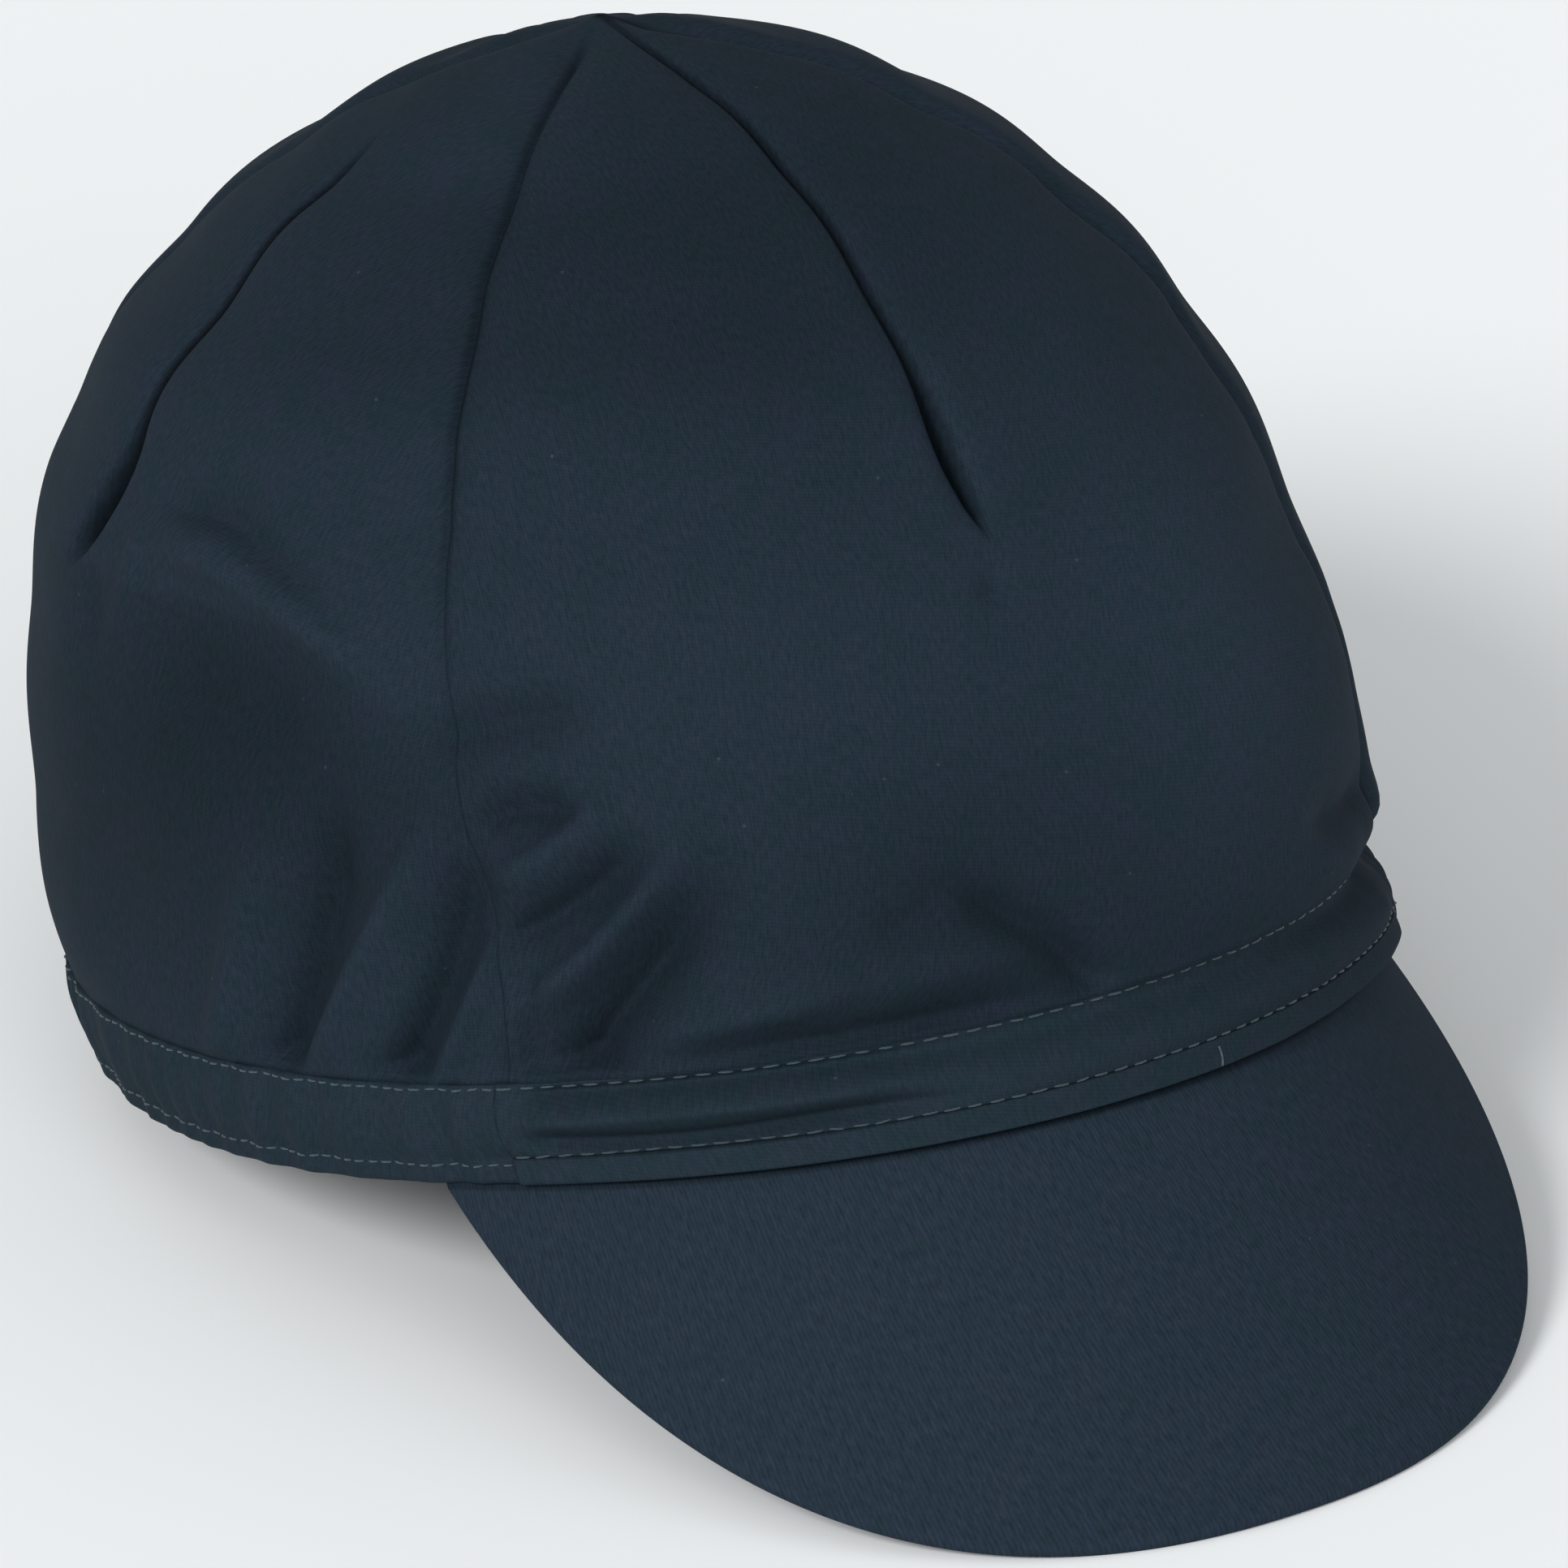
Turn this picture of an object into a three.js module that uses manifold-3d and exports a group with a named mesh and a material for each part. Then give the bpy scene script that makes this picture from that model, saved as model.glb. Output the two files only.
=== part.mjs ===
// A cycling cap, in millimetres, made from its sewn pieces: four crown panels, each taken in by a dart,
// a band in two lengths, the front one with a folded hem, and a cloth-covered peak.
// Angles are in degrees from the middle of the front round by the wearer's right. Heights are above the
// front hem. The cap faces -Y, the wearer's right is -X, and +Z is up.

import * as THREE from 'three';
import { mergeVertices } from 'three/addons/utils/BufferGeometryUtils.js';
import Module from 'manifold-3d';

const wasm = await Module();
wasm.setup();

// Cloth
const CROWN_WALL = 1.4;
const BAND_WALL = 2.2;
const PEAK_THICKNESS = 2.6;
const SEWN_GAP = 0.3;

// Form of the crown: a section is half an ellipse to the front of its widest line and half an ellipse to
// the rear of it, and rearShift moves that line towards the rear
const CROWN_SECTIONS = [
  { height: 0, halfWidth: 80.0, frontReach: 97.2, rearReach: 92.5, rearShift: 0.8 },
  { height: 12, halfWidth: 82.2, frontReach: 90.0, rearReach: 94.5, rearShift: -2.0 },
  { height: 31, halfWidth: 81.9, frontReach: 94.2, rearReach: 96.4, rearShift: 1.2 },
  { height: 54, halfWidth: 78.7, frontReach: 90.1, rearReach: 90.9, rearShift: 7.2 },
  { height: 76, halfWidth: 70.2, frontReach: 78.7, rearReach: 80.0, rearShift: 7.8 },
  { height: 95, halfWidth: 55.9, frontReach: 60.9, rearReach: 65.1, rearShift: 6.2 },
  { height: 108, halfWidth: 39.8, frontReach: 42.7, rearReach: 45.3, rearShift: 5.4 },
  { height: 117, halfWidth: 20.7, frontReach: 21.7, rearReach: 23.6, rearShift: 5.2 },
  { height: 122, halfWidth: 0.0, frontReach: 0.0, rearReach: 0.0, rearShift: 6.7 },
];
const HEM_SIDE_DROP = 3.3;
const HEM_REAR_DROP = 6.8;
const HEM_DROP_REACH = 75;
const TIP_RADIUS = 0.8;

// Where the crown panels have rows of corners, by height, and columns beside each seam and dart, by angle
const PANEL_HEIGHTS = [16, 21, 26, 32, 38, 46, 55, 61, 65, 70, 80, 91, 102, 111, 118];
const BESIDE_SEAM = [1.2, 3, 6];
const PLAIN_FROM = 11;
const PLAIN_COLUMNS = 3;

// Seams and darts of the crown
const SIDE_SEAM = 51.2;
const REAR_SEAM = 128.8;
const SIDE_DART = 95;
const DART_FOOT = 65;
const SEAM = { depth: 0.8, width: 2.2 };
const DART = { depth: 1.7, width: 3.2, footBlend: 9, upperShare: 0.45, footReach: 22 };
const APEX_BLEND = 14;

// Soft folds of the crown: a row is one fold from its lower end to its upper end, and rise is how far
// it stands out, or in when it is negative
const CROWN_FOLDS = [
  { fromAngle: 76, fromHeight: 12, toAngle: 66, toHeight: 40, width: 3.5, rise: 1.0 },
  { fromAngle: 67, fromHeight: 14, toAngle: 52, toHeight: 40, width: 3.6, rise: 1.6 },
  { fromAngle: 54, fromHeight: 15, toAngle: 49, toHeight: 31, width: 2.8, rise: 0.9 },
  { fromAngle: 48, fromHeight: 16, toAngle: 29, toHeight: 40, width: 3.8, rise: 1.7 },
  { fromAngle: 50, fromHeight: 32, toAngle: 39, toHeight: 41, width: 3.2, rise: 1.0 },
  { fromAngle: 36, fromHeight: 16, toAngle: 21, toHeight: 17, width: 2.8, rise: 0.9 },
  { fromAngle: 58, fromHeight: 62, toAngle: 89, toHeight: 73, width: 4.0, rise: -1.2 },
  { fromAngle: 51, fromHeight: 50, toAngle: 59, toHeight: 63, width: 4.0, rise: -1.1 },
  { fromAngle: 91, fromHeight: 57, toAngle: 88, toHeight: 71, width: 3.5, rise: -1.0 },
  { fromAngle: -5, fromHeight: 14, toAngle: 10, toHeight: 31, width: 3.5, rise: -0.8 },
  { fromAngle: -50, fromHeight: 16, toAngle: -32, toHeight: 29, width: 4.0, rise: -1.1 },
  { fromAngle: -62, fromHeight: 15, toAngle: -56, toHeight: 38, width: 3.6, rise: 1.2 },
  { fromAngle: -78, fromHeight: 14, toAngle: -70, toHeight: 38, width: 3.6, rise: 1.1 },
  { fromAngle: 146, fromHeight: 14, toAngle: 138, toHeight: 34, width: 3.6, rise: 1.0 },
  { fromAngle: 171, fromHeight: 13, toAngle: 168, toHeight: 33, width: 3.6, rise: 0.9 },
  { fromAngle: 203, fromHeight: 14, toAngle: 209, toHeight: 35, width: 3.6, rise: 1.0 },
];

// Band: the two rows of stitching run round it at these heights
const LOWER_STITCH = 3.0;
const UPPER_STITCH = 12.0;
const BAND_JOIN = 52.2;
const BAND_BULGE = 0.9;
const BAND_GROOVE = { height: 4.8, depth: 0.9, width: 1.2 };
const PINCH = { depth: 0.5, width: 3.0 };
const HEM_FOLD = { proud: 0.7, fadesBy: 0.6 };
const GATHER = { pitch: 5.6, depth: 0.35, columns: 3 };
const FRONT_COLUMNS = 30;
const FRONT_BAND_HEIGHTS = [LOWER_STITCH + SEWN_GAP, BAND_GROOVE.height, 6.5, 8.4, 10.2, UPPER_STITCH];
const HEM_FOLD_HEIGHTS = [0, 1.2, 2.2, LOWER_STITCH];
const REAR_BAND_HEIGHTS = [0, LOWER_STITCH, 7.4, UPPER_STITCH];

// Peak: its rays start under the folded hem, lean down by slope, and shorten towards the corners
const PEAK_CORNER = 59.6;
const PEAK_LENGTH = 55.5;
const PEAK_CORNER_LENGTH = 1.6;
const PEAK_ROUNDNESS = 2.72;
const PEAK_SLOPE = 52.8;
const PEAK_CORNER_SLOPE = 49.8;
const PEAK_SPREAD = 0.46;
const PEAK_INSET = 1.0;
const PEAK_EDGE = { width: 2.4, thickness: 1.5 };
const PEAK_RAYS = 32;
const PEAK_RAY_CROWDING = 0.85;
const PEAK_ROWS = [0, 0.12, 0.3, 0.5, 0.7, 0.86, 0.95, 1];

// Rest: the cloth that carries the cap is pressed flat by this much
const PRESSED_FLAT = 0.4;

const CROWN_CLOTH = { color: 0x24303a, roughness: 0.92, metalness: 0 };
const BAND_CLOTH = { color: 0x263440, roughness: 0.92, metalness: 0 };
const PEAK_CLOTH = { color: 0x25303c, roughness: 0.9, metalness: 0 };

const radians = THREE.MathUtils.degToRad;

// A smooth curve through the points (xs, ys) that never swings past them
function curveThrough(xs, ys) {
  const steps = xs.slice(1).map((x, i) => x - xs[i]);
  const rates = steps.map((step, i) => (ys[i + 1] - ys[i]) / step);
  const slopes = ys.map((_, i) => {
    const before = rates[Math.max(i - 1, 0)];
    const after = rates[Math.min(i, rates.length - 1)];
    return before * after > 0 ? (2 * before * after) / (before + after) : 0;
  });
  return (x) => {
    let i = 0;
    while (i < steps.length - 1 && x > xs[i + 1]) {
      i += 1;
    }
    const u = THREE.MathUtils.clamp((x - xs[i]) / steps[i], 0, 1);
    const fromStart = ys[i] + slopes[i] * steps[i] * u;
    const fromEnd = ys[i + 1] - slopes[i + 1] * steps[i] * (1 - u);
    return THREE.MathUtils.lerp(fromStart, fromEnd, u * u * (3 - 2 * u));
  };
}

// The crown's side profile runs from the hem, 0, to the apex, 1, by its own length
function profileShares(sections) {
  const lengths = [0];
  for (let i = 1; i < sections.length; i += 1) {
    const rise = sections[i].height - sections[i - 1].height;
    const run = sections[i].frontReach - sections[i - 1].frontReach;
    lengths.push(lengths[i - 1] + Math.hypot(rise, run));
  }
  return lengths.map((length) => length / lengths[lengths.length - 1]);
}

const shares = profileShares(CROWN_SECTIONS);
const column = (name) => curveThrough(shares, CROWN_SECTIONS.map((row) => row[name]));
const heightAt = column('height');
const halfWidthAt = column('halfWidth');
const frontReachAt = column('frontReach');
const rearReachAt = column('rearReach');
const rearShiftAt = column('rearShift');

// Share of the profile at a height, found by halving
function shareAtHeight(height) {
  let low = 0;
  let high = 1;
  for (let i = 0; i < 40; i += 1) {
    const middle = (low + high) / 2;
    if (heightAt(middle) < height) {
      low = middle;
    } else {
      high = middle;
    }
  }
  return (low + high) / 2;
}

// The hem lies lower at the sides and rear than at the front, and the drop fades out upwards
function hemDrop(angle, height) {
  const sides = (HEM_SIDE_DROP * (1 - Math.cos(2 * radians(angle)))) / 2;
  const rear = (HEM_REAR_DROP * (1 - Math.cos(radians(angle)))) / 2;
  return (sides + rear) * Math.max(0, 1 - height / HEM_DROP_REACH);
}

// The crown's own reach from its middle at an angle, sideways in x and backwards in y
function sectionReach(share, angle) {
  const forward = Math.cos(radians(angle));
  const reach = forward > 0 ? frontReachAt(share) : rearReachAt(share);
  return new THREE.Vector2(-halfWidthAt(share) * Math.sin(radians(angle)), -reach * forward);
}

// The plain dome, with no seams or folds
function domePoint(share, angle) {
  const height = heightAt(share);
  const reach = sectionReach(share, angle);
  return new THREE.Vector3(reach.x, rearShiftAt(share) + reach.y, height - hemDrop(angle, height));
}

function domeNormal(share, angle) {
  const nudge = 0.002;
  const inside = THREE.MathUtils.clamp(share, nudge, 1 - 4 * nudge);
  const up = domePoint(inside + nudge, angle).sub(domePoint(inside - nudge, angle));
  const round = domePoint(inside, angle + 1).sub(domePoint(inside, angle - 1));
  return up.cross(round).normalize();
}

const bump = (distance, width) => Math.exp(-((distance / width) ** 2));
const smoothStep = (x) => THREE.MathUtils.smoothstep(x, 0, 1);

// Angle between two directions, from -180 to 180
function turn(angle, from) {
  return ((((angle - from) % 360) + 540) % 360) - 180;
}

function seamRelief(share, angle) {
  const radius = sectionReach(share, angle).length();
  const nearApex = smoothStep(radius / APEX_BLEND);
  const height = heightAt(share);
  let relief = 0;
  for (const seam of [SIDE_SEAM, REAR_SEAM, -REAR_SEAM, -SIDE_SEAM]) {
    relief -= SEAM.depth * bump(radius * radians(turn(angle, seam)), SEAM.width);
  }
  for (const dart of [0, SIDE_DART, 180, -SIDE_DART]) {
    const sewn = smoothStep((height - DART_FOOT + DART.footBlend) / DART.footBlend);
    const nearFoot = bump(height - DART_FOOT, DART.footReach);
    const deepening = DART.upperShare + (1 - DART.upperShare) * nearFoot;
    relief -= DART.depth * sewn * deepening * bump(radius * radians(turn(angle, dart)), DART.width);
  }
  return relief * nearApex;
}

function foldRelief(angle, height) {
  const radius = CROWN_SECTIONS[0].frontReach;
  let relief = 0;
  for (const fold of CROWN_FOLDS) {
    const run = radius * radians(fold.toAngle - fold.fromAngle);
    const rise = fold.toHeight - fold.fromHeight;
    const length = Math.hypot(run, rise);
    const acrossRun = radius * radians(turn(angle, fold.fromAngle));
    const acrossRise = height - fold.fromHeight;
    const along = (acrossRun * run + acrossRise * rise) / length;
    const across = (acrossRun * rise - acrossRise * run) / length;
    const past = Math.max(0, -along, along - length);
    relief += fold.rise * bump(across, fold.width) * bump(past, 1.6 * fold.width);
  }
  return relief;
}

// A point of the crown cloth, moved out along the dome's normal by the seams, folds and offset
function crownPoint(share, angle, offset) {
  const height = heightAt(share);
  const pinch = -PINCH.depth * bump(height - UPPER_STITCH, PINCH.width);
  const relief = seamRelief(share, angle) + foldRelief(angle, height) + pinch;
  return domePoint(share, angle).addScaledVector(domeNormal(share, angle), relief + offset);
}

// Two skins with the same rows and columns, closed along their edges into one solid. The last row may
// hold a single point.
function closedSheet(skinA, skinB) {
  const positions = [];
  const add = (point) => positions.push(...point.toArray()) / 3 - 1;
  const number = (skin) => skin.map((row) => row.map(add));
  const a = number(skinA);
  const b = number(skinB);
  const at = (skin, r, c) => skin[r][Math.min(c, skin[r].length - 1)];
  const faces = [];
  const quad = (p, q, r, s) => {
    faces.push([p, q, r], [p, r, s]);
  };
  const rows = a.length - 1;
  const columns = a[0].length - 1;
  for (let r = 0; r < rows; r += 1) {
    for (let c = 0; c < columns; c += 1) {
      quad(at(a, r, c), at(a, r + 1, c), at(a, r + 1, c + 1), at(a, r, c + 1));
      quad(at(b, r, c), at(b, r, c + 1), at(b, r + 1, c + 1), at(b, r + 1, c));
    }
    quad(at(a, r, 0), at(b, r, 0), at(b, r + 1, 0), at(a, r + 1, 0));
    quad(at(a, r, columns), at(a, r + 1, columns), at(b, r + 1, columns), at(b, r, columns));
  }
  for (let c = 0; c < columns; c += 1) {
    quad(at(a, 0, c), at(a, 0, c + 1), at(b, 0, c + 1), at(b, 0, c));
    quad(at(a, rows, c), at(b, rows, c), at(b, rows, c + 1), at(a, rows, c + 1));
  }
  const whole = faces.filter(([p, q, r]) => p !== q && q !== r && r !== p);
  const corner = (i) => new THREE.Vector3().fromArray(positions, 3 * i);
  const volume = whole.reduce((sum, [p, q, r]) => sum + corner(p).dot(corner(q).cross(corner(r))), 0);
  const facingOut = volume < 0 ? whole.map(([p, q, r]) => [p, r, q]) : whole;
  const geometry = new THREE.BufferGeometry();
  geometry.setAttribute('position', new THREE.Float32BufferAttribute(positions, 3));
  geometry.setIndex(facingOut.flat());
  geometry.computeVertexNormals();
  return geometry;
}

function evenly(from, to, count) {
  return Array.from({ length: count + 1 }, (_, i) => from + ((to - from) * i) / count);
}

// Angles across a panel, closer together beside its seams and its dart
function panelAngles(from, dart, to) {
  return [
    from,
    ...BESIDE_SEAM.map((step) => from + step),
    ...evenly(from + PLAIN_FROM, dart - PLAIN_FROM, PLAIN_COLUMNS),
    ...BESIDE_SEAM.toReversed().map((step) => dart - step),
    dart,
    ...BESIDE_SEAM.map((step) => dart + step),
    ...evenly(dart + PLAIN_FROM, to - PLAIN_FROM, PLAIN_COLUMNS),
    ...BESIDE_SEAM.toReversed().map((step) => to - step),
    to,
  ];
}

// Half of the gap at a seam, as an angle at a radius
function halfGapAt(radius) {
  return THREE.MathUtils.radToDeg(SEWN_GAP / 2 / radius);
}

// One crown panel, from the upper stitching to its tip at the apex
function crownPanel(from, dart, to) {
  const bottom = shareAtHeight(UPPER_STITCH + SEWN_GAP);
  const rows = [bottom, ...PANEL_HEIGHTS.map(shareAtHeight)];
  const tipShare = 1 - TIP_RADIUS / (2 * CROWN_SECTIONS[0].frontReach);
  const skin = (offset) => {
    const grid = rows.map((share) => {
      const half = halfGapAt(halfWidthAt(share));
      return panelAngles(from + half, dart, to - half).map((angle) => crownPoint(share, angle, offset));
    });
    grid.push([crownPoint(tipShare, (from + to) / 2, offset)]);
    return grid;
  };
  return closedSheet(skin(0), skin(-CROWN_WALL));
}

// The band's bulge between its two rows of stitching
function bandBulge(height) {
  const share = (height - LOWER_STITCH) / (UPPER_STITCH - LOWER_STITCH);
  const bulge = BAND_BULGE * Math.sin(Math.PI * THREE.MathUtils.clamp(share, 0, 1));
  return bulge - PINCH.depth * bump(height - UPPER_STITCH, PINCH.width);
}

// The band's wall is level at its edges, so its offsets are level too
function bandPoint(height, angle, offset) {
  const share = shareAtHeight(height);
  const outward = domeNormal(share, angle).setZ(0).normalize();
  return domePoint(share, angle).addScaledVector(outward, offset);
}

// A length of band between two angles; relief says how far its outside stands out
function bandLength(angles, heights, relief) {
  const skin = (offset) => heights.map((height) => (
    angles.map((angle) => bandPoint(height, angle, offset(height, angle)))
  ));
  return closedSheet(skin(relief), skin(() => -BAND_WALL));
}

const BAND_HALF_GAP = halfGapAt(CROWN_SECTIONS[0].halfWidth);
const FRONT_ANGLES = evenly(-BAND_JOIN + BAND_HALF_GAP, BAND_JOIN - BAND_HALF_GAP, FRONT_COLUMNS);

function frontBand() {
  const groove = (height) => BAND_GROOVE.depth * bump(height - BAND_GROOVE.height, BAND_GROOVE.width);
  return bandLength(FRONT_ANGLES, FRONT_BAND_HEIGHTS, (height) => bandBulge(height) - groove(height));
}

// The folded hem stands proud of the band and covers the root of the peak
function frontHemFold() {
  const proud = (height) => HEM_FOLD.proud * (1 - HEM_FOLD.fadesBy * smoothStep(height / LOWER_STITCH));
  return bandLength(FRONT_ANGLES, HEM_FOLD_HEIGHTS, proud);
}

// The rear length is drawn in by its elastic, in upright gathers all the way round
function rearBand() {
  const from = BAND_JOIN + BAND_HALF_GAP;
  const span = 360 - 2 * from;
  const meanRadius = (CROWN_SECTIONS[0].halfWidth + CROWN_SECTIONS[0].rearReach) / 2;
  const gathers = Math.round((radians(span) * meanRadius) / GATHER.pitch);
  const angles = evenly(from, from + span, GATHER.columns * gathers);
  const wave = (angle) => GATHER.depth * Math.cos((2 * Math.PI * gathers * (angle - from)) / span);
  return bandLength(angles, REAR_BAND_HEIGHTS, (height, angle) => bandBulge(height) + wave(angle));
}

// The peak's ray at share q of its half angle: where it starts, which way it goes and how long it is
function peakRay(q) {
  const angle = radians(q * PEAK_CORNER);
  const { halfWidth, frontReach } = CROWN_SECTIONS[0];
  const normal = new THREE.Vector2(-frontReach * Math.sin(angle), -halfWidth * Math.cos(angle)).normalize();
  const forward = new THREE.Vector2(0, PEAK_SPREAD - 1);
  const outward = normal.clone().multiplyScalar(PEAK_SPREAD).add(forward).normalize();
  const slope = radians(PEAK_SLOPE + (PEAK_CORNER_SLOPE - PEAK_SLOPE) * q ** 4);
  const start = domePoint(0, q * PEAK_CORNER);
  start.x -= PEAK_INSET * normal.x;
  start.y -= PEAK_INSET * normal.y;
  start.z -= SEWN_GAP;
  const level = outward.clone().multiplyScalar(Math.cos(slope));
  const along = new THREE.Vector3(level.x, level.y, -Math.sin(slope));
  const longer = (PEAK_LENGTH - PEAK_CORNER_LENGTH) * (1 - Math.abs(q) ** PEAK_ROUNDNESS);
  const length = PEAK_CORNER_LENGTH + longer;
  return { start, along, length };
}

// The peak is a bent board in a cloth cover, thinner along its outer edge
function peak() {
  const crowded = (step) => Math.sign(step) * Math.abs(step) ** PEAK_RAY_CROWDING;
  const rays = evenly(-1, 1, PEAK_RAYS).map((step) => peakRay(crowded(step)));
  const across = rays.map((ray, i) => {
    const before = rays[Math.max(i - 1, 0)].start;
    const after = rays[Math.min(i + 1, rays.length - 1)].start;
    return ray.along.clone().cross(after.clone().sub(before)).normalize();
  });
  const skin = (side) => PEAK_ROWS.map((share) => rays.map((ray, i) => {
    const toEdge = ray.length * (1 - share);
    const full = smoothStep(toEdge / PEAK_EDGE.width);
    const thinning = ((PEAK_THICKNESS - PEAK_EDGE.thickness) / 2) * (1 - full);
    const depth = side === 'upper' ? thinning : PEAK_THICKNESS - thinning;
    const point = ray.start.clone().addScaledVector(ray.along, ray.length * share);
    return point.addScaledVector(across[i], depth);
  }));
  return closedSheet(skin('upper'), skin('lower'));
}

// Solids for cutting, and back again
function toSolid(geometry) {
  const plain = geometry.clone();
  plain.deleteAttribute('normal');
  const merged = mergeVertices(plain, 1e-4);
  return new wasm.Manifold(new wasm.Mesh({
    numProp: 3,
    vertProperties: new Float32Array(merged.attributes.position.array),
    triVerts: new Uint32Array(merged.index.array),
  }));
}

function toGeometry(solid) {
  const mesh = solid.getMesh();
  const geometry = new THREE.BufferGeometry();
  geometry.setAttribute('position', new THREE.BufferAttribute(new Float32Array(mesh.vertProperties), 3));
  geometry.setIndex(Array.from(mesh.triVerts));
  geometry.computeVertexNormals();
  return geometry;
}

// The corner of a geometry that lies lowest when the cap is turned up at the front by a pitch
function lowestPoint(geometry, pitch) {
  const position = geometry.attributes.position;
  const corner = (_, i) => new THREE.Vector3().fromBufferAttribute(position, i);
  const points = Array.from({ length: position.count }, corner);
  const level = (point) => point.z * Math.cos(pitch) - point.y * Math.sin(pitch);
  return points.reduce((lowest, point) => (level(point) < level(lowest) ? point : lowest));
}

const peakShape = peak();
const rearBandShape = rearBand();

// The cap rests on the rear hem and on the peak's edge: the pitch that brings both to one level
let pitch = 0;
for (let i = 0; i < 6; i += 1) {
  const front = lowestPoint(peakShape, pitch);
  const rear = lowestPoint(rearBandShape, pitch);
  pitch = Math.atan2(rear.z - front.z, rear.y - front.y);
}
const support = lowestPoint(rearBandShape, pitch);

// The floor in the cap's own frame, as a block whose top is a little above the lowest points
function floorBlock() {
  const size = 400;
  const block = new THREE.BoxGeometry(size, size, size);
  const up = new THREE.Vector3(0, -Math.sin(pitch), Math.cos(pitch));
  const top = support.dot(up) + PRESSED_FLAT;
  block.rotateX(pitch);
  const centre = up.clone().multiplyScalar(top - size / 2);
  block.translate(centre.x, centre.y, centre.z);
  block.deleteAttribute('uv');
  return toSolid(block);
}

const floor = floorBlock();
const pressed = (geometry) => toGeometry(toSolid(geometry).subtract(floor));

function piece(name, geometry, cloth) {
  const mesh = new THREE.Mesh(geometry, new THREE.MeshStandardMaterial(cloth));
  mesh.name = name;
  return mesh;
}

const cap = new THREE.Group();
cap.add(
  piece('crown_panel_front', crownPanel(-SIDE_SEAM, 0, SIDE_SEAM), CROWN_CLOTH),
  piece('crown_panel_right', crownPanel(SIDE_SEAM, SIDE_DART, REAR_SEAM), CROWN_CLOTH),
  piece('crown_panel_rear', crownPanel(REAR_SEAM, 180, 360 - REAR_SEAM), CROWN_CLOTH),
  piece('crown_panel_left', crownPanel(-REAR_SEAM, -SIDE_DART, -SIDE_SEAM), CROWN_CLOTH),
  piece('band_front', frontBand(), BAND_CLOTH),
  piece('band_rear_elastic', pressed(rearBandShape), BAND_CLOTH),
  piece('hem_fold_front', frontHemFold(), BAND_CLOTH),
  piece('peak', pressed(peakShape), PEAK_CLOTH),
);

// Set down on its rear hem and its peak, with the origin under the middle of the whole cap
cap.rotation.x = -pitch;
cap.updateMatrixWorld(true);
const box = new THREE.Box3().setFromObject(cap, true);
const middle = box.getCenter(new THREE.Vector3());
cap.position.set(-middle.x, -middle.y, -box.min.z);

export default cap;
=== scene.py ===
"""A soft cloth cycling cap, resting on its rear hem and on the edge of its peak.

The crown is four sewn panels with a dart in each, the band has a plain front length and a gathered rear
length, and the peak is a covered board. Sizes are in millimetres and are turned to the frame's metres where
a mesh is made. Angles are in degrees from the middle of the front round by the wearer's right, and heights
are above the front hem.
"""

import logging
import math
from collections.abc import Callable
from dataclasses import dataclass, field
from enum import Enum

import bpy
import numpy as np
from mathutils import Matrix, Vector


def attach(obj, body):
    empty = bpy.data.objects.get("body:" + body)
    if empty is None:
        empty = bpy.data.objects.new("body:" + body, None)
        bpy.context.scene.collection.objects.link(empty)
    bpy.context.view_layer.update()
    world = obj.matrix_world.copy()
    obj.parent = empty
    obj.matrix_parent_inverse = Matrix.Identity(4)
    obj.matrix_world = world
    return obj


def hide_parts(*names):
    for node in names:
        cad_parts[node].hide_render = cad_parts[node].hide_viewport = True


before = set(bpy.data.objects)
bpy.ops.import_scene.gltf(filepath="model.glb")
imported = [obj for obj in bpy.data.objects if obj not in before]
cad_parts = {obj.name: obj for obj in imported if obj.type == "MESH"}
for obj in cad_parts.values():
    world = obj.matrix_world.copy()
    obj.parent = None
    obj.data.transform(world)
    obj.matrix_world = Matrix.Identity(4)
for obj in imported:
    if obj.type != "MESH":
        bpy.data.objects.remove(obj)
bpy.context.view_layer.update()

MM = 0.001
BODY = "root"
WHOLE_TURN = 360.0
# Name of the mesh attribute that holds the crown's painted light and shade
PAINTED_SHADE = "painted_shade"

log = logging.getLogger("cycling_cap")


def linear(code: str) -> tuple[float, float, float, float]:
    """Turns an sRGB colour to linear light.

    Args:
        code: six hex digits, two for each of red, green and blue.

    Returns:
        Linear red, green, blue and an alpha of 1.
    """
    shares = [int(code[i:i + 2], 16) / 255 for i in (0, 2, 4)]
    bent = [c / 12.92 if c <= 0.04045 else ((c + 0.055) / 1.055) ** 2.4 for c in shares]
    return (bent[0], bent[1], bent[2], 1.0)


def bump(distance: np.ndarray, width: float | np.ndarray) -> np.ndarray:
    """A soft rise of 1 at no distance, which fades over the width.

    Args:
        distance: how far each point is from the middle of the rise.
        width: how far the rise reaches.

    Returns:
        The rise at each point, from 0 to 1.
    """
    return np.exp(-((distance / width) ** 2))


def smooth_step(x: np.ndarray) -> np.ndarray:
    """A soft change from 0 to 1 as x goes from 0 to 1."""
    held = np.clip(x, 0.0, 1.0)
    return held * held * (3.0 - 2.0 * held)


def turn(angle: np.ndarray, start: float | np.ndarray) -> np.ndarray:
    """The angle from start, between -180 and 180 degrees."""
    return (np.asarray(angle) - start + 1.5 * WHOLE_TURN) % WHOLE_TURN - WHOLE_TURN / 2


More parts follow.
